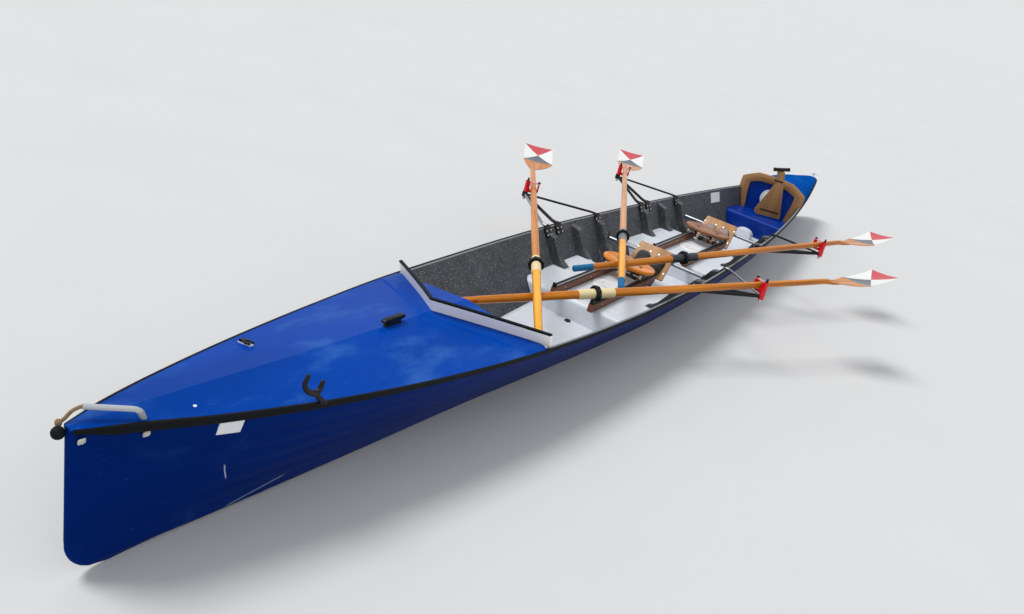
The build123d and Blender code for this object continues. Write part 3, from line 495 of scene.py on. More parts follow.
@functools.cache
def speckle_group() -> bpy.types.NodeTree:
    """Fine pale and dark flecks of flow coat."""
    inputs = (("Vector", ARROW, None), ("Base", TINT, (0.03, 0.03, 0.03)), ("Fleck", TINT, (0.5, 0.5, 0.5)),
              ("Scale", NUMBER, 260.0), ("Amount", NUMBER, 0.5))
    graph, given, out = open_group("speckle", inputs, (("Color", TINT, None), ("Height", NUMBER, None)))
    cells = graph.add("TexVoronoi", feature="F1", vector=given["Vector"], scale=given["Scale"])
    chance = graph.add("SeparateColor", color=cells.outputs["Color"])
    cloud = graph.noise(given["Vector"], 9.0, detail=4.0)
    wanted = graph.math("GREATER_THAN", chance.outputs[0], graph.math("SUBTRACT", 1.05, given["Amount"]))
    fleck = graph.times(wanted, graph.span(cells.outputs["Distance"], 0.42, 0.22))
    dim = graph.times(fleck, graph.math("ADD", 0.25, chance.outputs[1]))
    base = graph.mix(graph.times(cloud, 0.16), given["Base"], given["Fleck"])
    graph.set(out["Color"], graph.mix(dim, base, given["Fleck"]))
    graph.set(out["Height"], fleck)
    return graph.tree


@functools.cache
def weave_group() -> bpy.types.NodeTree:
    """Over-and-under threads of a woven cloth."""
    inputs = (("Vector", ARROW, None), ("Scale", NUMBER, 500.0))
    graph, given, out = open_group("weave", inputs, (("Height", NUMBER, None),))
    scaled = graph.add("VectorMath", operation="SCALE", vector=given["Vector"], scale=given["Scale"])
    parts = graph.add("SeparateXYZ", vector=scaled.outputs[0])
    across = graph.math("SINE", graph.math("ADD", parts.outputs[0], parts.outputs[2]))
    down = graph.math("SINE", parts.outputs[1])
    graph.set(out["Height"], graph.times(across, down))
    return graph.tree


@functools.cache
def ripple_group() -> bpy.types.NodeTree:
    """Long ripple and fine tooth of a moulded surface."""
    inputs = (("Vector", ARROW, None), ("Ripple", NUMBER, 7.0), ("Tooth", NUMBER, 400.0))
    graph, given, out = open_group("ripple", inputs, (("Height", NUMBER, None), ("Tooth", NUMBER, None)))
    for label, key, detail in (("Height", "Ripple", 2.0), ("Tooth", "Tooth", 3.0)):
        graph.set(out[label], graph.noise(given["Vector"], given[key], detail))
    return graph.tree


# Finishes

PALE_MARK = srgb(190, 198, 210)


@dataclass(frozen=True)
class Finish:
    """What every finish has: a name, a colour and a roughness."""

    name: str
    color: Color
    roughness: float = 0.4

    def start(self, title: str, carried: bool) -> tuple[Graph, bpy.types.Node, bpy.types.NodeSocket]:
        """Make the material's tree with its Principled shader.

        Args:
            title: The material's name.
            carried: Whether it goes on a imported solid, which has only its object's coordinates.

        Returns:
            The graph, the shader node and the vector of the surface's own coordinates.
        """
        material = bpy.data.materials.new(title)
        material.use_nodes = True
        material.diffuse_color = (*self.color, 1.0)
        graph = Graph(material.node_tree)
        shader = material.node_tree.nodes["Principled BSDF"]
        if carried:
            return graph, shader, graph.add("TexCoord").outputs["Object"]
        return graph, shader, graph.add("Attribute", attribute_name="local").outputs["Vector"]

    def place(self, graph: Graph, tree: bpy.types.NodeTree,
              **values: object) -> dict[str, bpy.types.NodeSocket]:
        """Place a node group and give its inputs.

        Args:
            graph: The material's graph.
            tree: The group.
            values: Values or sockets for the group's inputs, by their names in lower case.

        Returns:
            The group's output sockets by name.
        """
        node = graph.add("Group", node_tree=tree)
        graph.fill(node, **values)
        return {socket.name: socket for socket in node.outputs}

    def relief(self, graph: Graph, shader: bpy.types.Node, height: object, strength: float,
               depth: float) -> None:
        """Join a height to the shader's normal through one more Bump node."""
        bump = graph.add("Bump", strength=strength, distance=depth, height=height)
        before = shader.inputs["Normal"].links
        if before:
            graph.set(bump.inputs["Normal"], before[0].from_socket)
        graph.set(shader.inputs["Normal"], bump.outputs[0])

    def dress(self, graph: Graph, shader: bpy.types.Node, local: bpy.types.NodeSocket) -> None:
        """Fill the material: each kind of finish has its own way."""
        raise NotImplementedError

    @functools.cache
    def material(self, carried: bool = False) -> bpy.types.Material:
        """The finish as a Blender material, made once.

        Args:
            carried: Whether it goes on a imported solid.

        Returns:
            The material.
        """
        title = f"{self.name} on solid" if carried else self.name
        graph, shader, local = self.start(title, carried)
        self.dress(graph, shader, local)
        return bpy.data.materials[title]

    def carry(self, *nodes: str) -> None:
        """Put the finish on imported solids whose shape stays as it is.

        Args:
            nodes: Names of the solids.
        """
        for node in nodes:
            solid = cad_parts[node]
            for place in solid.material_slots:
                place.link = "OBJECT"
                place.material = self.material(carried=True)
            log.info("%s: solid kept, dressed in %s", node, self.name)


@dataclass(frozen=True)
class GelCoat(Finish):
    """Glossy moulded skin, faintly rippled, with dust and scuffs, and where asked, pale cloudy patches of
    painted sky reflection.
    """

    worn: Color = (0.30, 0.36, 0.45)
    coat: float = 0.5
    scuffs: float = 0.25
    dust: float = 0.12
    drift: float = 0.12
    scale: float = 5.0
    shine: float = 0.35
    # share of pale cloudy patches of painted sky reflection, mixed towards the worn colour
    bloom: float = 0.0
    marks: tuple[tuple[Pair, Pair, float, float], ...] = ()

    def dress(self, graph: Graph, shader: bpy.types.Node, local: bpy.types.NodeSocket) -> None:
        """Drift the colour slowly, wear it, paint pale clouds of sky reflection, and break up its gloss."""
        slow = graph.noise(graph.stretch(local, (0.5, 2.0, 2.0)), 1.7, detail=4.0)
        deep = tuple(channel * (1 - self.drift * 2) for channel in self.color)
        base = graph.mix(graph.span(slow, 0.3, 0.7), self.color, deep)
        worn = self.place(graph, wear_group(), vector=local, color=base, worn=self.worn, scale=self.scale,
                          scuffs=self.scuffs, dust=self.dust)
        ripple = self.place(graph, ripple_group(), vector=local, ripple=5.0, tooth=600.0)
        color = worn["Color"]
        if self.bloom:
            # painted reflection: pale clouds where the sky mirrors in the gloss
            cloud = graph.noise(graph.stretch(local, (0.7, 1.6, 1.6)), 3.2, detail=6.0, rough=0.62)
            color = graph.mix(graph.times(graph.span(cloud, 0.48, 0.72), self.bloom), color, self.worn)
        for start, end, width, strength in self.marks:
            mark = graph.near(local, start, end, width)
            color = graph.mix(graph.times(mark, strength), color, PALE_MARK)
        rough = graph.math("MULTIPLY_ADD", worn["Mask"], 0.45, self.roughness)
        graph.fill(shader, base_color=color, roughness=graph.math("MULTIPLY_ADD", slow, 0.08, rough),
                   coat_weight=self.coat, coat_roughness=0.12, specular_ior_level=self.shine)
        self.relief(graph, shader, ripple["Height"], 0.10, 0.010)
        self.relief(graph, shader, worn["Height"], 0.20, 0.0004)


@dataclass(frozen=True)
class FlowCoat(Finish):
    """Dark flecked coat on the inside of the hull."""

    fleck: Color = (0.30, 0.32, 0.35)
    rubbed: Color = (0.20, 0.21, 0.22)
    amount: float = 0.42

    def dress(self, graph: Graph, shader: bpy.types.Node, local: bpy.types.NodeSocket) -> None:
        """Scatter flecks, rub the coat and leave it uneven."""
        flecks = self.place(graph, speckle_group(), vector=local, base=self.color, fleck=self.fleck,
                            scale=150.0, amount=self.amount)
        worn = self.place(graph, wear_group(), vector=local, color=flecks["Color"], worn=self.rubbed,
                          scale=9.0, scuffs=0.55, dust=0.35)
        ripple = self.place(graph, ripple_group(), vector=local, ripple=14.0, tooth=240.0)
        graph.fill(shader, base_color=worn["Color"],
                   roughness=graph.math("MULTIPLY_ADD", ripple["Tooth"], 0.25, self.roughness))
        self.relief(graph, shader, ripple["Height"], 0.45, 0.006)
        self.relief(graph, shader, ripple["Tooth"], 0.35, 0.0012)


@dataclass(frozen=True)
class Wood(Finish):
    """Wood with grain along its length, bare or under varnish."""

    dark: Color = (0.20, 0.07, 0.02)
    scale: float = 26.0
    contrast: float = 0.6
    coat: float = 0.3
    patches: float = 0.0

    def dress(self, graph: Graph, shader: bpy.types.Node, local: bpy.types.NodeSocket) -> None:
        """Grain, rubbed places and open pores, under the varnish."""
        grain = self.place(graph, grain_group(), vector=local, light=self.color, dark=self.dark,
                           scale=self.scale, contrast=self.contrast)
        worn_tint = tuple(min(channel * 1.2 + 0.02, 1.0) for channel in self.color)
        worn = self.place(graph, wear_group(), vector=local, color=grain["Color"], worn=worn_tint,
                          scale=14.0, scuffs=0.22, dust=0.04)
        color = worn["Color"]
        if self.patches:
            blotch = graph.noise(graph.stretch(local, (1.0, 5.0, 5.0)), 5.5, detail=5.0, rough=0.6)
            bare = graph.times(graph.span(blotch, 0.53, 0.63), self.patches)
            color = graph.mix(bare, color, self.dark)
        rough = graph.math("MULTIPLY_ADD", worn["Mask"], 0.4, self.roughness)
        rough = graph.math("MULTIPLY_ADD", grain["Pores"], 0.12, rough)
        graph.fill(shader, base_color=color, roughness=rough, coat_weight=self.coat, coat_roughness=0.14,
                   specular_ior_level=0.2)
        self.relief(graph, shader, graph.math("SUBTRACT", 1.0, grain["Pores"]), 0.25, 0.0006)


@dataclass(frozen=True)
class Plastic(Finish):
    """Moulded plastic or rubber with a fine tooth."""

    worn: Color = (0.25, 0.25, 0.25)
    tooth: float = 500.0
    scuffs: float = 0.3
    dust: float = 0.15
    coat: float = 0.0
    shine: float = 0.3

    def dress(self, graph: Graph, shader: bpy.types.Node, local: bpy.types.NodeSocket) -> None:
        """Tooth, scuffs and a film of dust."""
        worn = self.place(graph, wear_group(), vector=local, color=self.color, worn=self.worn, scale=18.0,
                          scuffs=self.scuffs, dust=self.dust)
        ripple = self.place(graph, ripple_group(), vector=local, ripple=30.0, tooth=self.tooth)
        rough = graph.math("MULTIPLY_ADD", ripple["Tooth"], 0.18, self.roughness)
        graph.fill(shader, base_color=worn["Color"],
                   roughness=graph.math("MULTIPLY_ADD", worn["Mask"], 0.3, rough),
                   coat_weight=self.coat, specular_ior_level=self.shine)
        self.relief(graph, shader, ripple["Tooth"], 0.25, 0.0005)


@dataclass(frozen=True)
class Metal(Finish):
    """Drawn tube or plate, brushed along its length, dulled in places."""

    dull: Color = (0.18, 0.18, 0.19)
    tarnish: float = 0.35

    def dress(self, graph: Graph, shader: bpy.types.Node, local: bpy.types.NodeSocket) -> None:
        """Brush lines in the roughness, tarnish in the colour."""
        lines = graph.noise(graph.stretch(local, (1.5, 60.0, 60.0)), 14.0, detail=2.0)
        spots = graph.span(graph.noise(local, 26.0, detail=6.0, rough=0.7), 0.5, 0.7)
        mask = graph.times(spots, self.tarnish)
        rough = graph.math("MULTIPLY_ADD", lines, 0.2, self.roughness)
        graph.fill(shader, base_color=graph.mix(mask, self.color, self.dull),
                   roughness=graph.math("MULTIPLY_ADD", mask, 0.35, rough),
                   metallic=graph.math("MULTIPLY_ADD", mask, -0.4, 1.0))
        self.relief(graph, shader, lines, 0.08, 0.0003)


@dataclass(frozen=True)
class Cloth(Finish):
    """Woven or knitted cloth, a little faded."""

    faded: Color = (0.2, 0.2, 0.2)
    thread: float = 2600.0

    def dress(self, graph: Graph, shader: bpy.types.Node, local: bpy.types.NodeSocket) -> None:
        """Threads, fading and dust, with a soft sheen."""
        threads = self.place(graph, weave_group(), vector=local, scale=self.thread)
        worn = self.place(graph, wear_group(), vector=local, color=self.color, worn=self.faded, scale=20.0,
                          scuffs=0.45, dust=0.3)
        graph.fill(shader, base_color=worn["Color"], roughness=self.roughness, sheen_weight=0.25)
        self.relief(graph, shader, threads["Height"], 0.35, 0.0005)


@dataclass(frozen=True)
class Rope(Finish):
    """Laid rope: strands that wind along the local X."""

    dark: Color = (0.10, 0.07, 0.04)
    turns: float = 420.0

    def dress(self, graph: Graph, shader: bpy.types.Node, local: bpy.types.NodeSocket) -> None:
        """Wind the strands and let dirt lie between them."""
        x, y, z = graph.add("SeparateXYZ", vector=local).outputs
        around = graph.times(graph.math("ARCTAN2", z, y), 3.0)
        twist = graph.math("ADD", graph.times(x, self.turns), around)
        strand = graph.math("ABSOLUTE", graph.math("SINE", twist))
        shade = graph.math("ADD", strand, graph.times(graph.noise(local, 420.0), 0.4))
        graph.fill(shader, base_color=graph.mix(graph.span(shade, 0.2, 1.0), self.dark, self.color),
                   roughness=self.roughness)
        self.relief(graph, shader, shade, 0.7, 0.002)


@dataclass(frozen=True)
class BladePaint(Finish):
    """Tip of a blade, quartered by its diagonals; it reads the blade's own length and breadth."""

    tip: Color = (0.55, 0.02, 0.03)
    inner: Color = (0.20, 0.27, 0.38)

    def dress(self, graph: Graph, shader: bpy.types.Node, local: bpy.types.NodeSocket) -> None:
        """Choose the quarter by comparing the two distances from the middle."""
        panel = graph.add("Attribute", attribute_name="panel").outputs["Vector"]
        parts = graph.add("SeparateXYZ", vector=panel).outputs
        along, across = parts[0], graph.math("ABSOLUTE", parts[1])
        on_ends = graph.span(graph.math("SUBTRACT", graph.math("ABSOLUTE", along), across), -0.008, 0.008)
        outer = graph.math("GREATER_THAN", along, 0.0)
        ends = graph.mix(outer, self.inner, self.tip)
        worn = self.place(graph, wear_group(), vector=local, color=graph.mix(on_ends, self.color, ends),
                          worn=(0.42, 0.36, 0.28), scale=22.0, scuffs=0.55, dust=0.08)
        graph.fill(shader, base_color=worn["Color"], coat_weight=0.35,
                   roughness=graph.math("MULTIPLY_ADD", worn["Mask"], 0.4, self.roughness))
        self.relief(graph, shader, worn["Height"], 0.3, 0.0004)


# Making meshes

POLE = 1e-5  # radius at the end of a turned form that closes on its axis


def half_turn(count: int) -> list[float]:
    """Angles from 0 to 180 degrees in as many steps as count."""
    return [math.pi * k / count for k in range(count + 1)]


@dataclass
class Shape:
    """A mesh under construction, with each point's own coordinates for its finish."""

    points: list[Vector] = field(default_factory=list)
    local: list[Vector] = field(default_factory=list)
    panel: list[Vector] = field(default_factory=list)
    faces: list[tuple[int, ...]] = field(default_factory=list)
    tags: list[int] = field(default_factory=list)

    def add_points(self, points: Iterable[Vector], local: Iterable[Vector] | None = None) -> int:
        """Add points.

        Args:
            points: The points.
            local: Their own coordinates; the points themselves if left out.

        Returns:
            The index of the first one.
        """
        base = len(self.points)
        self.points.extend(Vector(p) for p in points)
        self.local.extend(Vector(p) for p in (local if local is not None else self.points[base:]))
        self.panel.extend(Vector((0, 0, 0)) for _ in range(len(self.points) - base))
        return base

    def face(self, corners: Sequence[int], tag: int = 0) -> None:
        """Add a face with its finish number."""
        self.faces.append(tuple(corners))
        self.tags.append(tag)

    def grid(self, rows: Rows, local: Rows | None = None, around: bool = False,
             tag: Callable[[int], int] = lambda row: 0) -> int:
        """Add a grid of quads.

        Args:
            rows: Rows of as many points each.
            local: The points' own coordinates, in the same layout.
            around: Whether each row closes on itself.
            tag: Finish number of the faces after each row.

        Returns:
            The index of the first point.
        """
        width = len(rows[0])
        own = [p for row in local for p in row] if local else None
        base = self.add_points([p for row in rows for p in row], own)
        for r in range(len(rows) - 1):
            for c in range(width if around else width - 1):
                a, b = base + r * width + c, base + r * width + (c + 1) % width
                self.face((a, b, b + width, a + width), tag(r))
        return base

    def close_ends(self, base: int, rows: int, width: int, tag: int = 0) -> None:
        """Put a face over the first and the last row of a grid whose first point is base."""
        for start in (base, base + (rows - 1) * width):
            self.face(range(start, start + width), tag)

    def loft(self, rows: Rows, local: Rows | None = None, tag: int = 0) -> None:
        """Add a closed form through rings of points.

        Args:
            rows: The rings, with as many points each.
            local: The points' own coordinates, in the same layout.
            tag: Finish number.
        """
        self.close_ends(self.grid(rows, local, True, lambda row: tag), len(rows), len(rows[0]), tag)

    def slab(self, top: Rows, bottom: Rows, local: Rows | None = None,
             tag: Callable[[int], int] = lambda row: 0) -> int:
        """Add a closed sheet between two grids of the same layout.

        Args:
            top: Rows of the upper face.
            bottom: Rows of the lower face.
            local: Own coordinates for both faces.
            tag: Finish number of the faces after each row.

        Returns:
            The index of the first point of the upper face.
        """
        first = self.grid(top, local, tag=tag)
        second = self.grid(bottom, local, tag=tag)
        height, width = len(top), len(top[0])
        for r in range(height - 1):
            for c in (0, width - 1):
                a, b = r * width + c, (r + 1) * width + c
                self.face((first + a, first + b, second + b, second + a), tag(r))
        for c in range(width - 1):
            for r in (0, height - 1):
                a, b = r * width + c, r * width + c + 1
                self.face((first + a, second + a, second + b, first + b), tag(min(r, height - 2)))
        return first

    def tube(self, path: Sequence[Vector], radius: float | Sequence[float], sides: int = 18,
             tag: int = 0) -> None:
        """Add a round bar along a path, closed at both ends.

        Args:
            path: Points along the middle.
            radius: One radius, or one for each point.
            sides: Faces around it.
            tag: Finish number.
        """
        radii = [radius] * len(path) if isinstance(radius, (int, float)) else list(radius)
        turns = [math.tau * k / sides for k in range(sides)]
        normal, rows, local, gone = Vector((0, 0, 1)), [], [], 0.0
        for index, (point, size) in enumerate(zip(path, radii)):
            ahead = (path[min(index + 1, len(path) - 1)] - path[max(index - 1, 0)]).normalized()
            if abs(ahead.dot(normal)) > 0.98:
                normal = Vector((0, 1, 0))
            normal = (normal - ahead * normal.dot(ahead)).normalized()
            across = ahead.cross(normal)
            gone += (point - path[index - 1]).length if index else 0.0
            rows.append([point + (normal * math.cos(t) + across * math.sin(t)) * size for t in turns])
            local.append([Vector((gone, math.cos(t) * size, math.sin(t) * size)) for t in turns])
        self.loft(rows, local, tag)

    def lathe(self, place: Matrix, profile: Sequence[Pair], sides: int = 32, tag: int = 0) -> None:
        """Add a turned form.

        Args:
            place: Its frame; it turns about the local X.
            profile: Distance along X and radius, from one end to the other.
            sides: Faces around it.
            tag: Finish number.
        """
        turns = [math.tau * k / sides for k in range(sides)]
        own = [[Vector((x, r * math.cos(t), r * math.sin(t))) for t in turns] for x, r in profile]
        self.loft([[place @ p for p in row] for row in own], own, tag)

    def prism(self, place: Matrix, outline: Outline, low: float, high: float, tag: int = 0) -> None:
        """Add an outline in the local XY plane, thickened along the local Z.

        Args:
            place: Its frame.
            outline: Corners in order.
            low: Height of the lower face.
            high: Height of the upper face.
            tag: Finish number.
        """
        count = len(outline)
        own = [Vector((x, y, z)) for z in (low, high) for x, y in outline]
        base = self.add_points([place @ p for p in own], own)
        for k in range(count):
            following = (k + 1) % count
            self.face((base + k, base + following, base + count + following, base + count + k), tag)
        self.close_ends(base, 2, count, tag)

    def block(self, place: Matrix, size: tuple[float, float, float], tag: int = 0) -> None:
        """Add a box about the middle of its frame; its edges are rounded when the piece is made with a bevel.
        """
        x, y, z = (value / 2 for value in size)
        self.prism(place, [(-x, -y), (x, -y), (x, y), (-x, y)], -z, z, tag)

    def ball(self, centre: Vector, radius: float, tag: int = 0, squeeze: float = 1.0) -> None:
        """Add a ball, or a bead if squeezed along X."""
        profile = [(-math.cos(t) * radius * squeeze, max(math.sin(t) * radius, POLE)) for t in half_turn(14)]
        self.lathe(Matrix.Translation(centre), profile, 24, tag)

    def build(self, name: str, body: str, slot: str, finishes: Sequence[Finish], bevel: float = 0.0,
              replaces: Sequence[str] = (), angle: float = SMOOTH_ANGLE) -> bpy.types.Object:
        """Turn the shape into a piece that rides on its body.

        Args:
            name: The piece's name.
            body: The body that it moves with.
            slot: Not used.
            finishes: Its finishes, in the order of the finish numbers.
            bevel: Width of the rounded edges.
            replaces: Solids that the piece stands for.
            angle: Edges sharper than this stay sharp.

        Returns:
            The object.
        """
        mesh = bpy.data.meshes.new(name)
        mesh.from_pydata(self.points, [], self.faces)
        for label, values in (("local", self.local), ("panel", self.panel)):
            attribute = mesh.attributes.new(label, "FLOAT_VECTOR", "POINT")
            attribute.data.foreach_set("vector", [c for v in values for c in v])
        mesh.polygons.foreach_set("material_index", self.tags)
        clean_mesh(mesh, bevel)
        mesh.polygons.foreach_set("use_smooth", [True] * len(mesh.polygons))
        mesh.set_sharp_from_angle(angle=angle)
        piece = bpy.data.objects.new(name, mesh)
        bpy.context.scene.collection.objects.link(piece)
        for finish in finishes:
            mesh.materials.append(finish.material())
        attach(piece, body)
        if replaces:
            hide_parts(*replaces)
        log.info("%s: %d faces, rides on %s", name, len(mesh.polygons), body)
        return piece


def clean_mesh(mesh: bpy.types.Mesh, bevel: float) -> None:
    """Join doubled points, turn the faces outwards and round the sharp edges.

    Args:
        mesh: The mesh, changed in place.
        bevel: Width of the rounded edges, or 0.
    """
    work = bmesh.new()
    work.from_mesh(mesh)
    bmesh.ops.remove_doubles(work, verts=work.verts, dist=3e-6)
    bmesh.ops.dissolve_degenerate(work, edges=work.edges, dist=1e-6)
    bmesh.ops.recalc_face_normals(work, faces=work.faces)
    if bevel:
        sharp = [e for e in work.edges if len(e.link_faces) == 2 and e.calc_face_angle() > BEVEL_ANGLE]
        bmesh.ops.bevel(work, geom=sharp, offset=bevel, offset_type="OFFSET", segments=3, profile=0.6,
                        affect="EDGES", clamp_overlap=True, material=-1)
    work.to_mesh(mesh)
    work.free()


def axes(origin: Sequence[float], along: Sequence[float], up: Sequence[float] = (0, 0, 1)) -> Matrix:
    """Frame with its local X along a direction and its local Z as near up as that allows.

    Args:
        origin: Its origin.
        along: Direction of its local X.
        up: Direction that its local Z leans to.

    Returns:
        The frame.
    """
    x = Vector(along).normalized()
    y = Vector(up).cross(x).normalized()
    z = x.cross(y)
    turn = Matrix((x, y, z)).transposed().to_4x4()
    return Matrix.Translation(Vector(origin)) @ turn


def upright(origin: Sequence[float]) -> Matrix:
    """Frame with its local X up and its local Z forward."""
    return axes(origin, (0, 0, 1), (1, 0, 0))


def corner_curve(start: Vector, corner: Vector, end: Vector, count: int) -> list[Vector]:
    """Points on the curve that rounds a corner from start to end."""
    return [start * (1 - t) ** 2 + corner * 2 * t * (1 - t) + end * t**2 for t in steps(0, 1, count)]


def curve_through(corners: Sequence[Vector], per_span: int = 8) -> list[Vector]:
    """Smooth curve through points, denser by per_span.

    Args:
        corners: Points that the curve passes through.
        per_span: Points to each span.

    Returns:
        Points on the curve.
    """
    line, last = [], len(corners) - 1
    for k in range(last):
        a, b = corners[max(k - 1, 0)], corners[k]
        c, d = corners[k + 1], corners[min(k + 2, last)]
        for step in range(per_span):
            t = step / per_span
            bend = (a * -1 + b * 3 - c * 3 + d) * t**3 + (a * 2 - b * 5 + c * 4 - d) * t**2 + (c - a) * t
            line.append(b + bend / 2)
    return line + [corners[-1]]


def round_corners(outline: Outline, radius: float, count: int = 5) -> Outline:
    """Replace each corner of an outline by a short curve.

    Args:
        outline: Corners in order, closed.
        radius: How far from each corner the curve starts, limited by the sides.
        count: Points to each corner.

    Returns:
        The rounded outline.
    """
    rounded = []
    for k, corner in enumerate(outline):
        here = Vector(corner)
        before, after = Vector(outline[k - 1]) - here, Vector(outline[(k + 1) % len(outline)]) - here
        start = here + before.normalized() * min(radius, before.length * 0.45)
        end = here + after.normalized() * min(radius, after.length * 0.45)
        rounded += [(point.x, point.y) for point in corner_curve(start, here, end, count)]
    return rounded


def rounded_front(fore: float, low: float, top: float, bend: float, count: int) -> Outline:
    """Side view of a step up with a rounded upper edge.

    Args:
        fore: How far aft its face stands.
        low: Height of its foot.
        top: Height of its top.
        bend: Radius of the upper edge.
        count: Points round that edge.

    Returns:
        Places and heights, from the foot up.
    """
    turns = steps(0, math.pi / 2, count)
    edge = [(fore + bend * (1 - math.cos(t)), top - bend * (1 - math.sin(t))) for t in turns]
    return [(fore, low), (fore, (low + top) / 2), *edge]


def blank_plate(name: str, point: Callable[[float, float, float], Vector], rows: int, columns: int,
                proud: float, bevel: float) -> None:
    """Make a blank plate that follows the surface that it is on.

    Args:
        name: The piece's name.
        point: Gives a point from its shares of the way back and down, and how far it stands proud.
        rows: Rows of points down the plate.
        columns: Points to each row.
        proud: How far the plate stands proud.
        bevel: Width of its rounded edges.
    """
    plate = Shape()
    plate.slab(*([[point(back, down, out) for back in steps(0, 1, columns)] for down in steps(0, 1, rows)]
                 for out in (proud, -0.0005)))
    plate.build(name, "boat", "fitting_white", [LABEL], bevel=bevel)


# Finishes of this boat

HULL_BLUE = GelCoat("hull blue", srgb(0, 37, 112), 0.30, worn=srgb(70, 110, 170), coat=0.0, scuffs=0.14,
                    dust=0.0, shine=0.012, marks=(((3.648, 0.262), (3.612, 0.176), 0.0030, 0.75),
                                       ((3.555, 0.020), (3.330, 0.076), 0.0065, 0.40)))
# the pale cloudy patches on the foredeck and the stern deck are painted sky reflection
DECK_BLUE = GelCoat("deck blue", srgb(0, 64, 160), 0.24, worn=srgb(90, 150, 210), coat=0.0, scuffs=0.14,
                    dust=0.0, shine=0.022, bloom=0.22)
STERN_BLUE = GelCoat("stern deck blue", srgb(4, 78, 160), 0.34, worn=srgb(90, 150, 210), coat=0.0,
                     scuffs=0.08, dust=0.0, shine=0.0, bloom=0.06)
SEAT_BLUE = GelCoat("stern blue", srgb(0, 50, 146), 0.28, worn=srgb(90, 120, 190), coat=0.08, scuffs=0.25,
                    dust=0.02, shine=0.15)
WHITE = GelCoat("floor white", srgb(216, 222, 230), 0.38, worn=srgb(160, 156, 148), coat=0.15, scuffs=0.45,
                dust=0.20, drift=0.04, scale=7.0)
PALE_BOARD = GelCoat("splashboard grey", srgb(252, 248, 240), 0.42, worn=srgb(150, 148, 144), coat=0.1,
                     scuffs=0.35, dust=0.08, drift=0.04, scale=9.0)
CHARCOAL = FlowCoat("cockpit charcoal", srgb(31, 37, 45), 0.52, fleck=srgb(160, 165, 172))
# SHADOW is painted shade: a near-black coat on the flanks of the ribs, where shade falls between them
SHADOW = FlowCoat("rib flank", srgb(13, 15, 19), 0.60, fleck=srgb(90, 95, 102))
PALE_EDGE = Plastic("gunwale edge", srgb(112, 118, 124), 0.45, worn=srgb(180, 180, 178), scuffs=0.6)
RUBBER = Plastic("rubber", srgb(8, 11, 14), 0.50, worn=srgb(70, 72, 74), scuffs=0.3, dust=0.02, shine=0.12)
BLACK = Plastic("black moulding", srgb(10, 11, 14), 0.36, worn=srgb(70, 70, 72), coat=0.1, dust=0.02,
                shine=0.2)
HOSE = Plastic("grey hose", srgb(176, 181, 184), 0.42, worn=srgb(110, 106, 98), scuffs=0.6)
HOSE_END = Plastic("hose end", srgb(148, 154, 160), 0.45, worn=srgb(100, 98, 92), scuffs=0.5)
ROPE = Rope("tan rope", srgb(150, 118, 84), 0.85, dark=srgb(70, 52, 36))
KNOT = Rope("white rope", srgb(215, 212, 205), 0.85, dark=srgb(130, 126, 118), turns=900.0)
FITTING = Plastic("white fitting", srgb(226, 228, 230), 0.32, worn=srgb(160, 156, 148), coat=0.3, dust=0.06)
LABEL = Plastic("blank plate", srgb(226, 228, 230), 0.30, worn=srgb(140, 146, 156), scuffs=0.5, coat=0.3)
VARNISH = Wood("shaft varnish", srgb(206, 124, 18), 0.26, dark=srgb(136, 70, 8), scale=34.0, contrast=0.7)
OLD_HONEY = Wood("old honey varnish", srgb(248, 170, 22), 0.26, dark=srgb(176, 112, 70), scale=30.0,
                 contrast=0.5, patches=0.6)
HONEY = Wood("honey varnish", srgb(248, 170, 22), 0.26, dark=srgb(196, 118, 18), scale=30.0, contrast=0.45)
# ROSE is the same varnished wood as the other shafts, turned pink and paler by painted sky reflection
ROSE = Wood("rose varnish", srgb(214, 150, 100), 0.28, dark=srgb(140, 84, 50), scale=30.0, contrast=0.55,
            patches=0.25)
BROWN = Wood("brown ply", srgb(158, 118, 78), 0.55, dark=srgb(104, 72, 44), scale=18.0, contrast=0.45,
             coat=0.1)
BEARER = Wood("bearer wood", srgb(124, 76, 50), 0.50, dark=srgb(66, 36, 22), scale=22.0, contrast=0.6,
              coat=0.15)
SEAT_ORANGE = Wood("seat varnish", srgb(236, 144, 30), 0.26, dark=srgb(176, 88, 14), scale=16.0, contrast=0.6)
SEAT_BROWN = Wood("old seat varnish", srgb(150, 96, 56), 0.40, dark=srgb(84, 46, 24), scale=16.0,
                  contrast=0.6)
BOARD_TAN = Wood("foot board", srgb(182, 136, 90), 0.50, dark=srgb(120, 80, 48), scale=16.0, contrast=0.4,
                 coat=0.1)
# near-black finish that paints shade: the inside of the rudder's slots and the bottom of the seat's hollows
PAINTED_SHADE = Plastic("dark slot", srgb(34, 20, 12), 0.7, dust=0.02)
SILVER = Metal("anodised tube", srgb(164, 168, 174), 0.30)
RAIL_BLACK = Metal("black rail", srgb(26, 27, 30), 0.36, dull=srgb(60, 60, 62))
STEEL = Metal("steel", srgb(170, 170, 172), 0.28)
DARK_STAY = Metal("dark stay", srgb(44, 45, 49), 0.36, dull=srgb(20, 20, 22), tarnish=0.4)
RED = Plastic("lock red", srgb(206, 10, 24), 0.28, worn=srgb(220, 90, 90), scuffs=0.3, dust=0.04, coat=0.4)
GATE = Plastic("gate pink", srgb(226, 150, 156), 0.35, worn=srgb(200, 150, 150), dust=0.05)
CREAM = Plastic("cream sleeve", srgb(226, 206, 160), 0.42, worn=srgb(150, 124, 88), scuffs=0.6, dust=0.08)
DARK_SLEEVE = Plastic("dark sleeve", srgb(40, 46, 56), 0.36, worn=srgb(90, 94, 100), coat=0.2, dust=0.04)
GREY_SLEEVE = Plastic("grey sleeve", srgb(112, 116, 124), 0.34, worn=srgb(60, 62, 66), coat=0.2, dust=0.05)
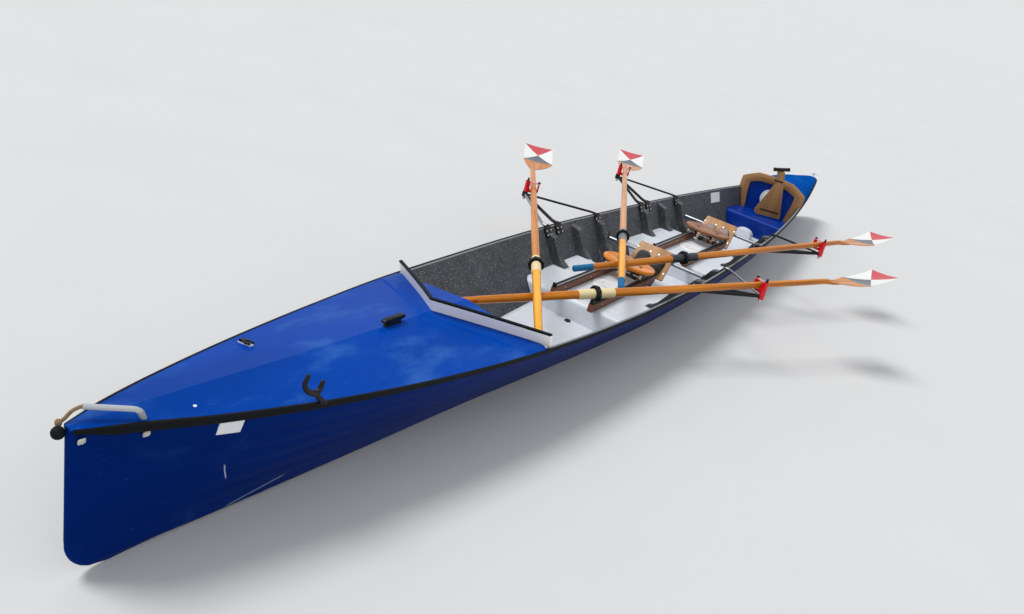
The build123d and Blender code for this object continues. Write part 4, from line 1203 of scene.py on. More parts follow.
GRIP_BLUE = Plastic("grip blue", srgb(8, 98, 148), 0.62, worn=srgb(90, 140, 170), tooth=900.0, dust=0.05)
SHOE_BLACK = Cloth("shoe black", srgb(18, 18, 20), 0.80, faded=srgb(62, 60, 58))
SHOE_ROSE = Cloth("shoe rose", srgb(150, 132, 128), 0.80, faded=srgb(104, 92, 88))
STRAP = Cloth("strap", srgb(22, 22, 24), 0.85, faded=srgb(70, 68, 66), thread=1800.0)
BLADE = BladePaint("blade paint", srgb(226, 226, 224), 0.30, tip=srgb(192, 32, 50), inner=srgb(56, 72, 88))
WHEEL = Plastic("wheel white", srgb(210, 210, 206), 0.38, worn=srgb(120, 116, 110))


# Hull, decks and cockpit


@dataclass
class HullSkin:
    """Outer skin of the hull with its faint laps, and its inner face."""

    solid_end: float = 0.25
    laps: tuple[float, ...] = (0.20, 0.36, 0.52, 0.68, 0.84)
    lap_depth: float = 0.0024
    flat_points: int = 3
    plate_fore: float = 0.390
    plate_length: float = 0.076
    plate_top: float = 0.452
    plate_fall: float = 0.009
    plate_height: float = 0.050
    plate_proud: float = 0.0032

    def stations(self) -> list[float]:
        """Places of the rows, close together at the rounded ends."""
        bow = [0.0, 0.0006, 0.002, 0.0045, 0.008, 0.012, 0.018, 0.028, 0.045, 0.07, 0.10, 0.14, 0.19]
        bow += [self.solid_end, self.solid_end + 0.0012]
        run = steps(0.30, HULL.length - 0.30, 126)
        return bow + run + [HULL.length - place for place in reversed(bow)]

    def half(self, aft: float, inset: float) -> list[Pair]:
        """Half section from the gunwale to the keel.

        Args:
            aft: Distance aft of the stem head.
            inset: How far inside the outer surface.

        Returns:
            Points as half breadth and height.
        """
        gunwale, centre, radius, bottom, side, on_bottom, keel = HULL.corners(aft, inset)
        foot = (centre[0] + radius * math.sin(side), centre[1] - radius * math.cos(side))
        fade = ease((aft - 0.12) / 0.5) * ease((HULL.length - aft - 0.1) / 0.6)
        depth = 0.0 if inset else self.lap_depth * fade
        shares = [(0.0, 0.0)]
        for lap in self.laps:
            shares += [(lap - 0.08, depth * 0.5), (lap - 0.006, depth), (lap + 0.006, 0.0)]
        shares += [(share, 0.0) for share in (0.88, 0.91, 0.94, 0.97, 1.0)]
        points = []
        for share, out in shares:
            y = gunwale[0] + (foot[0] - gunwale[0]) * share + out * math.sin(side)
            points.append((y, gunwale[1] + (foot[1] - gunwale[1]) * share - out * math.cos(side)))
        for angle in steps(side, bottom, 15)[1:]:
            points.append((centre[0] + radius * math.sin(angle), centre[1] - radius * math.cos(angle)))
        flat = min((inset - keel[1]) / math.tan(bottom), on_bottom[0] * 0.9)
        for share in (0.5, 1.0):
            y = on_bottom[0] + (flat - on_bottom[0]) * share
            points.append((y, keel[1] + y * math.tan(bottom)))
        points += [(flat * (1 - k / self.flat_points), inset) for k in range(1, self.flat_points + 1)]
        return [(y, max(z, inset)) for y, z in points]

    def row(self, aft: float, inset: float) -> list[Vector]:
        """Full section as points in space, from the port gunwale round to the starboard one.

        Args:
            aft: Distance aft of the stem head.
            inset: How far inside the outer surface.

        Returns:
            The points, moved with the rake of stem and stern.
        """
        half = self.half(aft, inset)
        narrow = max(HULL.rounding(aft), 0.03)
        if inset and not self.solid_end < aft < HULL.length - self.solid_end:
            lid = HULL.sheer(aft) - 0.003
            reach = max(HULL.beam(aft) - inset, 0.003)
            half = [(reach * (1 - k / (len(half) - 1)), lid) for k in range(len(half))]
        full = half + [(-y, z) for y, z in half[-2::-1]]
        return [Vector((HULL.x(aft + HULL.end_rake(aft, z)), y * narrow, z)) for y, z in full]

    def plate_point(self, back: float, down: float, out: float) -> Vector:
        """A point of the plate, by its shares of the way back and down and how far it stands proud."""
        aft = self.plate_fore + self.plate_length * back
        z = self.plate_top - self.plate_fall * back - self.plate_height * down
        y = HULL.wall_y(aft, z, -out) * HULL.rounding(aft)
        return Vector((HULL.x(aft + HULL.end_rake(aft, z)), y, z))

    def build(self) -> None:
        """Make the skin and the blank plate on the port bow."""
        shape = Shape()
        shape.slab(*([self.row(place, inset) for place in self.stations()] for inset in (SIZES.shell, 0.0)))
        shape.build("hull_skin", "boat", "hull_blue", [HULL_BLUE], replaces=["hull_shell"])
        blank_plate("bow_plate", self.plate_point, 6, 9, self.plate_proud, 0.0008)


@dataclass
class Foredeck:
    """Ridged foredeck with the raised plinth of the splashboard."""

    ridge_end: float = 1.838
    side_set_back: float = 0.047
    plinth_at: float = 1.515
    plinth_slope: float = 0.70
    plinth_rise: float = 0.0050
    turn_from: float = 0.7
    crease: float = 0.02
    shares: tuple[float, ...] = (1.0, 0.985, 0.93, 0.85, 0.75, 0.64, 0.53, 0.42, 0.31, 0.20, 0.11, 0.04,
                                 0.010, 0.002)

    def surface(self, aft: float, y: float) -> float:
        """Height of the top of the deck without its plinth."""
        share = min(abs(y) / HULL.beam(aft), 1.0)
        return HULL.sheer(aft) + HULL.at(aft)[2] * (1 - share) + SIZES.deck

    def point(self, place: float, share: float, drop: float) -> Vector:
        """A point of the deck.

        Args:
            place: The row's place on the ridge.
            share: Share of the half beam, negative to starboard.
            drop: How far below the top face.

        Returns:
            The point.
        """
        slope = self.side_set_back / HULL.beam(self.ridge_end)
        if place < self.plinth_at:
            turn = self.plinth_slope * ease((place - self.turn_from) / (self.plinth_at - self.turn_from))
        else:
            part = (place - self.plinth_at) / (self.ridge_end - self.plinth_at)
            turn = self.plinth_slope + (slope - self.plinth_slope) * part
        y = share * HULL.beam(place)
        aft = place + turn * (math.hypot(y, self.crease) - self.crease)
        y = share * HULL.beam(aft) * max(HULL.rounding(aft), 0.05)
        rise = self.plinth_rise * ease((place - self.plinth_at) / 0.020)
        rise *= ease((1 - abs(share)) / 0.04)
        z = self.surface(aft, share * HULL.beam(aft)) + rise
        return Vector((HULL.x(aft), y, z - drop))

    def build(self) -> None:
        """Make the deck."""
        places = [0.004, 0.007, 0.012, 0.02, 0.035, 0.06] + steps(0.10, 1.46, 36) + [1.48, 1.50, 1.508]
        places += steps(1.515, 1.535, 7) + steps(1.545, 1.80, 12) + [1.825, 1.835, 1.838]
        columns = list(self.shares) + [0.0] + [-s for s in reversed(self.shares)]
        shape = Shape()
        shape.slab(*([[self.point(place, share, drop) for share in columns] for place in places]
                     for drop in (0.0, SIZES.deck)))
        shape.build("foredeck_skin", "boat", "deck_blue", [DECK_BLUE], replaces=["foredeck"])


@dataclass
class Splashboard:
    """V-shaped board behind the plinth, with a black edge along its top."""

    apex: float = 1.592
    end: float = 1.921
    height: float = 0.066
    trim: float = 0.009
    lean: float = 0.030
    thickness: float = 0.012
    reach: float = 0.985  # share of each wing that the board covers
    skew: float = 1.25  # run forward for each unit of thickness, because the wings are swept

    def point(self, along: float, up: float, out: float) -> Vector:
        """A point of the board.

        Args:
            along: Share of the way from the apex to the port end, negative to starboard.
            up: Height above the deck.
            out: Distance forward of the middle of the board.

        Returns:
            The point.
        """
        share = abs(along)
        aft = self.apex + (self.end - self.apex) * share
        y = HULL.beam(aft) * along
        z = HULL.sheer(aft) + HULL.at(aft)[2] * (1 - share) + SIZES.deck
        return Vector((HULL.x(aft) + self.lean * up / self.height + out * self.skew, y, z + up))

    def sheet(self, low: float, high: float, thickness: float) -> Shape:
        """A band of the board between two heights.

        Args:
            low: Its lower edge above the deck.
            high: Its upper edge.
            thickness: How thick it is.

        Returns:
            The shape.
        """
        shape, half = Shape(), thickness / 2
        shape.slab(*([[self.point(along, level, out) for level in steps(low, high, 6)]
                      for along in steps(-self.reach, self.reach, 81)] for out in (half, -half)))
        return shape

    def build(self) -> None:
        """Make the board and its edge."""
        board = self.sheet(-0.004, self.height - self.trim, self.thickness)
        board.build("splashboard_panel", "boat", "splash_white", [PALE_BOARD], bevel=0.0015,
                    replaces=["splashboard"])
        edge = self.sheet(self.height - self.trim, self.height, self.thickness + 0.005)
        edge.build("splashboard_edging", "boat", "rubber_black", [RUBBER], bevel=0.002,
                   replaces=["splashboard_trim"])


@dataclass
class Cockpit:
    """Inside of the boat: walls with their ribs, the floor and the raised platforms under the slides."""

    rib_depth: float = 0.052
    rib_half: float = 0.030
    below_sheer: float = 0.012
    foot_top: float = 0.235
    foot_spread: float = 0.030
    cove: float = 0.016
    sheet: float = 0.006
    seams: Pair = (2.46, 5.62)
    plug_aft: float = 3.0
    hump_aft: float = 6.17
    hump_half: float = 0.075
    plate_aft: Pair = (6.020, 6.190)
    plate_z: Pair = (0.355, 0.279)
    edging_from: float = 1.90

    def ribs(self) -> list[float]:
        """Places of the ribs."""
        return [rower.pin_aft + offset for rower in ROWERS for offset in rower.ribs]

    def stations(self, first: float, last: float) -> list[float]:
        """Places of rows between two others, close together at the edges of the ribs.

        Args:
            first: The first place.
            last: The last place.

        Returns:
            The places in order.
        """
        near = (0.0, 0.014, 0.022, 0.026, 0.030, 0.034, 0.038, 0.044, 0.056)
        wanted = {round(place, 4) for place in steps(first, last, int((last - first) / 0.05) + 2)}
        ribs = self.ribs()
        wanted = {place for place in wanted if min(abs(place - rib) for rib in ribs) > 0.060}
        for rib in ribs:
            wanted |= {round(rib + sign * step, 4) for sign in (1, -1) for step in near}
        return [first] + sorted(place for place in wanted if first < place < last) + [last]

    def reach(self, aft: float, height: float) -> float:
        """How far the nearest rib stands in from the wall, with its foot spread at the bottom.

        Args:
            aft: Distance aft of the stem head.
            height: Height above the flat of the keel.

        Returns:
            The depth of the rib there.
        """
        spread = self.foot_spread * ease((self.foot_top - height) / 0.07)
        depth = self.rib_depth * ease((HULL.sheer(aft) - self.below_sheer - height) / 0.020)
        best = 0.0
        for rib in self.ribs():
            share = ease((self.rib_half + 0.006 + spread * 0.35 - abs(aft - rib)) / 0.008)
            best = max(best, share * (depth + spread))
        return best

    def wall(self, aft: float, height: float, lift: float = 0.0) -> float:
        """Half breadth of the cockpit at a height, ribs included."""
        return HULL.wall_y(aft, height, SIZES.inner) - self.reach(aft, height) - lift

    def behind(self, aft: float, height: float) -> float:
        """Half breadth of the back of the wall, just clear of the skin."""
        return HULL.wall_y(aft, height, SIZES.shell + 0.0004)

    def plate_point(self, back: float, down: float, out: float) -> Vector:
        """A point of the wall's plate, by its shares back and down and how far it stands proud."""
        aft = self.plate_aft[0] + (self.plate_aft[1] - self.plate_aft[0]) * back
        z = self.plate_z[0] + (self.plate_z[1] - self.plate_z[0]) * down
        return Vector((HULL.x(aft), -self.wall(aft, z, out), z))

    def build_walls(self) -> None:
        """Make both walls, with painted shade on the flanks of their ribs, and the pale edge along their
        tops.
        """
        walls, edging = Shape(), Shape()
        places = self.stations(SIZES.fore_bulkhead + 0.002, SIZES.stern_bulkhead)
        middles = [(a + b) / 2 for a, b in zip(places, places[1:])]
        # rows on the flanks of the ribs take SHADOW, painted shade that darkens the recesses between the ribs
        shaded_flanks = [any(0.026 < abs(aft - rib) < 0.044 for rib in self.ribs()) for aft in middles]
        for side in Side:
            inner, outer = [], []
            for aft in places:
                sheer = HULL.sheer(aft)
                levels = [sheer - down for down in (0, 0.010, 0.014, 0.019, 0.025, 0.032)]
                levels += steps(sheer - 0.05, 0.24, 6) + [0.225, 0.21, 0.195, 0.18, 0.165]
                levels += steps(0.14, 0.055, 5)
                for row, reach in ((inner, self.wall), (outer, self.behind)):
                    row.append([Vector((HULL.x(aft), side.value * reach(aft, z), z)) for z in levels])
            walls.slab(inner, outer, tag=lambda row: int(shaded_flanks[row]))
            top, under = [], []
            for aft in steps(self.edging_from, SIZES.stern_bulkhead, 90):
                x, sheer, half = HULL.x(aft), HULL.sheer(aft), HULL.beam(aft)
                section = ((0.0005, 0.0030), (0.004, 0.0045), (0.009, 0.0045), (0.0125, 0.0030))
                top.append([Vector((x, side.value * (half - into), sheer + up)) for into, up in section])
                under.append([Vector((x, side.value * (half - into), sheer - 0.0002)) for into, _ in section])
            edging.slab(top, under)
        walls.build("cockpit_walls", "boat", "liner_charcoal", [CHARCOAL, SHADOW], replaces=["cockpit_liner"])
        edging.build("wall_edging", "boat", "liner_charcoal", [PALE_EDGE])
        CHARCOAL.carry("fore_bulkhead")
        blank_plate("wall_plate", self.plate_point, 5, 7, 0.0020, 0.0006)

    def deck_rows(self, profile: Sequence[Pair], columns: int = 25) -> list[list[Vector]]:
        """Rows from wall to wall along a profile.

        Args:
            profile: Places and heights.
            columns: Points to each row.

        Returns:
            The rows, coved a little where they meet the walls.
        """
        rows = []
        for aft, z in profile:
            half = self.wall(aft, z) - 0.001
            flat = half - self.cove
            ys = steps(-flat, flat, columns)
            line = [(-half, 0.008), (-half + 0.004, 0.004), (-half + 0.009, 0.0015)]
            line += [(y, 0.0) for y in ys] + [(-y, up) for y, up in reversed(line)]
            rows.append([Vector((HULL.x(aft), y, z + up)) for y, up in line])
        return rows

    def build_sole(self) -> None:
        """Make the floor, with a seam near each end, and the drain plug."""
        top = [(aft, SIZES.sole) for aft in self.stations(SIZES.fore_bulkhead + 0.008, SIZES.stern_bulkhead)]
        for seam in self.seams:
            top = [pair for pair in top if abs(pair[0] - seam) > 0.006]
            top += [(seam - 0.003, SIZES.sole), (seam, SIZES.sole - 0.0025), (seam + 0.003, SIZES.sole)]
        top.sort()
        rows = self.deck_rows(top)
        under = [[Vector((p.x, p.y, SIZES.sole - self.sheet)) for p in row] for row in rows]
        floor = Shape()
        floor.slab(rows, under)
        floor.build("floor", "boat", "sole_white", [WHITE], replaces=["sole"])
        plug = Shape()
        plug.lathe(upright((HULL.x(self.plug_aft), 0, SIZES.sole)), [
            (0, 0.018), (0.004, 0.018), (0.006, 0.016), (0.006, 0.010), (0.004, 0.009), (0.004, 0.0035),
            (0.0065, 0.003), (0.007, 0.0001)])
        plug.build("drain_bung", "boat", "black_plastic", [BLACK], replaces=["drain_plug"])
        hump, half = Shape(), self.hump_half
        arch = [(half * math.cos(t), 0.035 + 0.050 * math.sin(t)) for t in steps(0, math.pi, 17)]
        place = axes((HULL.x(self.hump_aft), 0, SIZES.sole), (0, 1, 0), (1, 0, 0))
        hump.prism(place, [(-half, 0.0), (half, 0.0), *arch], -0.045, 0.045)
        hump.build("well_hump", "boat", "sole_white", [WHITE], bevel=0.006)

    def build_platforms(self) -> None:
        """Make the two platforms and their round covers."""
        platforms, covers = Shape(), Shape()
        bend = 0.028
        for rower in ROWERS:
            fore, back = rower.pin_aft - 0.640, rower.pin_aft + 0.090
            low, top = SIZES.sole + 0.001, SIZES.platform
            front = rounded_front(fore, low, top, bend, 7)
            rear = [(back + fore - aft, z) for aft, z in reversed(front)]
            middle = [(aft, top) for aft in self.stations(fore + bend, back - bend)[1:-1]]
            profile = front + middle + rear
            rows = self.deck_rows(profile)
            under = []
            for row, (aft, z) in zip(rows, profile):
                x = HULL.x(min(max(aft, fore + self.sheet), back - self.sheet))
                under.append([Vector((x, p.y, max(p.z - self.sheet, low - 0.0005))) for p in row])
            platforms.slab(rows, under)
            middle_x = HULL.x(rower.pin_aft - 0.220)
            covers.lathe(upright((middle_x, 0, top)), [
                (0.0, 0.098), (0.002, 0.0985), (0.0045, 0.096), (0.005, 0.090), (0.0025, 0.087),
                (0.0025, 0.084), (0.006, 0.080), (0.007, 0.074), (0.005, 0.068), (0.0045, 0.0001)], sides=64)
            for k in range(3):
                angle = math.tau * k / 3 + 0.4
                at = Vector((middle_x + 0.045 * math.cos(angle), 0.045 * math.sin(angle), top + 0.006))
                covers.block(axes(at, (-math.sin(angle), math.cos(angle), 0)), (0.030, 0.008, 0.006))
        platforms.build("slide_bases", "boat", "sole_white", [WHITE], replaces=["slide_platforms"])
        covers.build("base_covers", "boat", "fitting_white", [FITTING], bevel=0.0008,
                     replaces=["platform_hatch_covers"])

    def build(self) -> None:
        """Make the whole inside."""
        self.build_walls()
        self.build_sole()
        self.build_platforms()


@dataclass
class Fenders:
    """Rubber strip outside each gunwale, in butted lengths."""

    joints: tuple[float, ...] = (2.050, 4.100, 6.150)
    gap: float = 0.0016
    taper: float = 0.11

    def build(self) -> None:
        """Make the strips."""
        shape = Shape()
        ends = (0.010, *self.joints, HULL.length - 0.024)
        width, height = SIZES.fender_width, SIZES.fender_height
        section = [(0.0, SIZES.deck), (0.3, SIZES.deck + 0.001), (0.8, SIZES.deck - 0.0005),
                   (1.0, SIZES.deck - 0.004), (1.02, -0.004), (0.86, -0.007), (0.86, -0.010), (1.0, -0.013),
                   (0.98, -height + 0.003), (0.8, -height), (0.0, -height)]
        for side in Side:
            for first, last in zip(ends, ends[1:]):
                rows = []
                for aft in steps(first, last - self.gap, 44):
                    half, sheer, lean = HULL.beam(aft), HULL.sheer(aft), HULL.lean(aft)
                    full = 0.35 + 0.65 * ease((aft - ends[0]) / self.taper)
                    row = []
                    for out, up in section:
                        drop = min(up, 0.0) * full
                        y = half + drop * lean + out * width * full + 0.0003
                        row.append(Vector((HULL.x(aft), side.value * y, sheer + max(up, 0.0) + drop)))
                    rows.append(row)
                shape.loft(rows)
        shape.build("rubber_strips", "boat", "rubber_black", [RUBBER], replaces=["gunwale_fenders"])


# Stern


@dataclass
class Stern:
    """The cox's seat, the arch behind it, the stern deck and what stands on it."""

    band: float = 0.066
    arch_depth: float = 0.022
    arch_round: float = 0.3
    tail: float = 0.026
    hatch_radius: float = 0.080
    hatch_z: float = 0.355
    staff_from_end: float = 0.090
    staff_radii: Pair = (0.0175, 0.0125)
    rudder_heel: Pair = (6.588, 0.158)
    rudder_toe: Pair = (6.492, -0.045)
    rudder_height: float = 0.408
    rudder_head: float = 0.066
    rudder_thickness: float = 0.018
    rudder_lean: float = math.radians(14)
    slot_height: float = 0.013
    yoke_turn: float = math.radians(14)
    yoke_size: tuple[float, float, float] = (0.026, 0.136, 0.028)

    def build_seat(self) -> None:
        """Make the seat with its rounded front edge."""
        rows, under, sheet = [], [], 0.006
        front, low, top = SIZES.seat_front, SIZES.sole + 0.001, SIZES.seat_top
        profile = rounded_front(front, low, top, 0.022, 8)
        profile += [(aft, top) for aft in steps(front + 0.06, SIZES.stern_bulkhead, 7)]
        for aft, z in profile:
            half = HULL.wall_y(aft, z, SIZES.inner) - 0.001
            ys = [-half, -half + 0.006, *steps(-half + 0.02, half - 0.02, 17), half - 0.006, half]
            lift = [0.006, 0.001, *([0.0] * 17), 0.001, 0.006]
            rows.append([Vector((HULL.x(aft), y, z + up)) for y, up in zip(ys, lift)])
            x = HULL.x(max(aft, front + sheet))
            under.append([Vector((x, y, max(z - sheet, low - 0.0005))) for y in ys])
        shape = Shape()
        shape.slab(rows, under)
        shape.build("stern_bench", "boat", "deck_blue", [SEAT_BLUE], replaces=["cox_seat"])
        SEAT_BLUE.carry("stern_bulkhead")

    def build_arch(self) -> None:
        """Make the bent wooden band round the backrest."""
        aft = SIZES.stern_bulkhead
        half, sheer, crown = HULL.at(aft)[:3]
        band, gap = self.band, 0.002
        top = sheer + crown + 0.034
        shoulder, inside, lean = sheer + crown * 0.72, half - SIZES.inner, HULL.lean(aft)
        foot_y = inside - (sheer - SIZES.seat_top) * lean - gap
        neck, knuckle = sheer - 0.004 - gap, top - 0.008
        outer = [(foot_y, SIZES.seat_top), (inside - gap, neck), (half + 2 * gap, sheer + SIZES.deck + gap),
                 (half + gap, shoulder), (half * 0.55, knuckle), (0, top)]
        inner = [(foot_y - band / 2, SIZES.seat_top), (inside - band, neck), (inside - band, sheer + 0.007),
                 (inside - band, shoulder - band / 2), (half * 0.55 - band / 2, knuckle - band),
                 (0, top - band)]
        lines, cuts = [], 7
        for line in (outer, inner):
            full = line + [(-y, z) for y, z in reversed(line[:-1])]
            corners = [Vector((0, y, z)) for y, z in full]
            straight = [a.lerp(b, k / cuts) for a, b in zip(corners, corners[1:]) for k in range(cuts)]
            pairs = zip(straight + [corners[-1]], curve_through(corners, cuts))
            lines.append([a.lerp(b, self.arch_round) for a, b in pairs])
        shape, front, back, own = Shape(), [], [], []
        x, gone = HULL.x(aft), 0.0
        across = ((0.0, -0.002), (0.06, 0.0), (0.5, 0.0), (0.94, 0.0), (1.0, -0.002))  # share, swell
        for k, (out, mid) in enumerate(zip(*lines)):
            gone += (out - lines[0][k - 1]).length if k else 0.0
            points = [(out.lerp(mid, share), x + self.arch_depth + up) for share, up in across]
            front.append([Vector((fore, p.y, p.z)) for p, fore in points])
            back.append([Vector((x + 0.0004, p.y, p.z)) for p, _ in points])
            own.append([Vector((gone, share * band, 0.01)) for share, _ in across])
        shape.slab(front, back, own)
        shape.build("backrest_arch", "boat", "wood_brown", [BROWN], bevel=0.0015,
                    replaces=["cox_backrest_arch"])

    def build_deck(self) -> None:
        """Make the round-topped stern deck."""
        shape, top, under = Shape(), [], []
        for aft in steps(SIZES.stern_bulkhead, HULL.length - self.tail, 48):
            x, (half, sheer, crown) = HULL.x(aft), HULL.at(aft)[:3]
            solid = aft > HULL.length - 0.06
            rise = 0.0002 if solid else max(crown - SIZES.deck, 0.0005)
            for rows, wide, foot, high in ((top, half, sheer + 0.0003, crown),
                                           (under, half - SIZES.deck, sheer + 0.0001, rise)):
                rows.append([Vector((x, wide * math.cos(t), foot + high * math.sin(t)))
                             for t in half_turn(28)])
        shape.slab(top, under)
        shape.build("stern_deck_skin", "boat", "deck_blue", [STERN_BLUE], replaces=["stern_deck"])

    def build_fittings(self) -> None:
        """Make the round hatch cover, the forked staff socket and dress the gudgeons."""
        hatch, r = Shape(), self.hatch_radius
        place = axes((HULL.x(SIZES.stern_bulkhead), 0, self.hatch_z), (1, 0, 0))
        hatch.lathe(place, [
            (0.0, r), (0.006, r), (0.009, r - 0.003), (0.009, r - 0.010), (0.005, r - 0.012),
            (0.005, r - 0.015), (0.012, r - 0.018), (0.014, r - 0.022), (0.014, 0.030), (0.010, 0.026),
            (0.010, 0.0001)], sides=56)
        hatch.block(place @ Matrix.Translation((0.013, 0, 0)), (0.006, 0.052, 0.012))
        hatch.build("round_hatch", "boat", "fitting_white", [FITTING], bevel=0.0008,
                    replaces=["stern_hatch_cover"])
        socket, aft = Shape(), HULL.length - self.staff_from_end
        foot = Vector((HULL.x(aft), 0, HULL.ridge(aft)))
        outer, bore = self.staff_radii
        socket.lathe(upright(foot), [
            (-0.004, outer + 0.004), (0.003, outer + 0.004), (0.006, outer), (0.043, outer),
            (0.046, outer - 0.002), (0.046, bore + 0.001), (0.044, bore), (0.006, bore), (0.006, 0.0001)], 28)
        for side in Side:
            end = foot + Vector((-0.046, side.value * 0.036, 0.030))
            root = foot + Vector((-0.008, side.value * 0.008, 0.020))
            socket.tube(curve_through([root, root.lerp(end, 0.5) + Vector((0, 0, 0.002)), end], 5),
                        0.006, sides=14)
            socket.ball(end, 0.0075)
        socket.build("staff_socket", "boat", "fitting_white", [FITTING], replaces=["stern_staff_socket"])
        STEEL.carry("rudder_gudgeons")

    def build_rudder(self) -> None:
        """Make the unshipped rudder that stands on the seat, and its yoke."""
        heel, toe = (Vector((HULL.x(aft), y, SIZES.seat_top + 0.012)) for aft, y in (
            self.rudder_heel, self.rudder_toe))
        across, half = toe - heel, self.rudder_thickness / 2
        place = axes(heel, (0, 0, 1), -across.cross(Vector((0, 0, 1))))
        lean, height, head = math.tan(self.rudder_lean), self.rudder_height, self.rudder_head
        wide = across.length
        outline = [(0, 0), (-0.002, wide), (0.030, wide + 0.012),
                   (height - 0.110, head + lean * height * 0.72), (height, head + lean * height),
                   (height, lean * height)]
        flip = 1 if place.col[1].xyz.dot(across) > 0 else -1
        blade = Shape()
        blade.prism(place, round_corners([(up, flip * out) for up, out in outline], 0.022), -half, half)
        # the slots are not cut; a thin near-black strip on each face paints their shade
        for up, near, far in ((0.040, 0.030, 0.195), (height - 0.100, 0.088, 0.158)):
            over = up + self.slot_height
            slot = [(x, flip * y) for x, y in ((up, near), (over, near), (over, far), (up, far))]
            for face in (-half - 0.0015, half - 0.0010):
                blade.prism(place, slot, face, face + 0.0025, tag=1)
        blade.build("rudder_plate", "boat", "wood_brown", [BROWN, PAINTED_SHADE], bevel=0.003,
                    replaces=["rudder_blade"])
        yoke = Shape()
        middle = Matrix.Translation((height + 0.008, flip * (head / 2 + lean * height), 0))
        bar = place @ middle @ Matrix.Rotation(flip * self.yoke_turn, 4, "Z")
        yoke.block(bar, self.yoke_size)
        for end in (-0.056, 0.056):
            hole = bar @ Matrix.Translation((0.0125, end, 0))
            yoke.lathe(hole, [(0.0, 0.010), (0.003, 0.010), (0.003, 0.005), (0.0005, 0.0045),
                              (0.0005, 0.0001)], 20)
        yoke.build("yoke_bar", "boat", "black_plastic", [BLACK], bevel=0.003, replaces=["rudder_yoke"])

    def build(self) -> None:
        """Make everything from the seat to the sternpost."""
        self.build_seat()
        self.build_arch()
        self.build_deck()
        self.build_fittings()
        self.build_rudder()


# Bow fittings


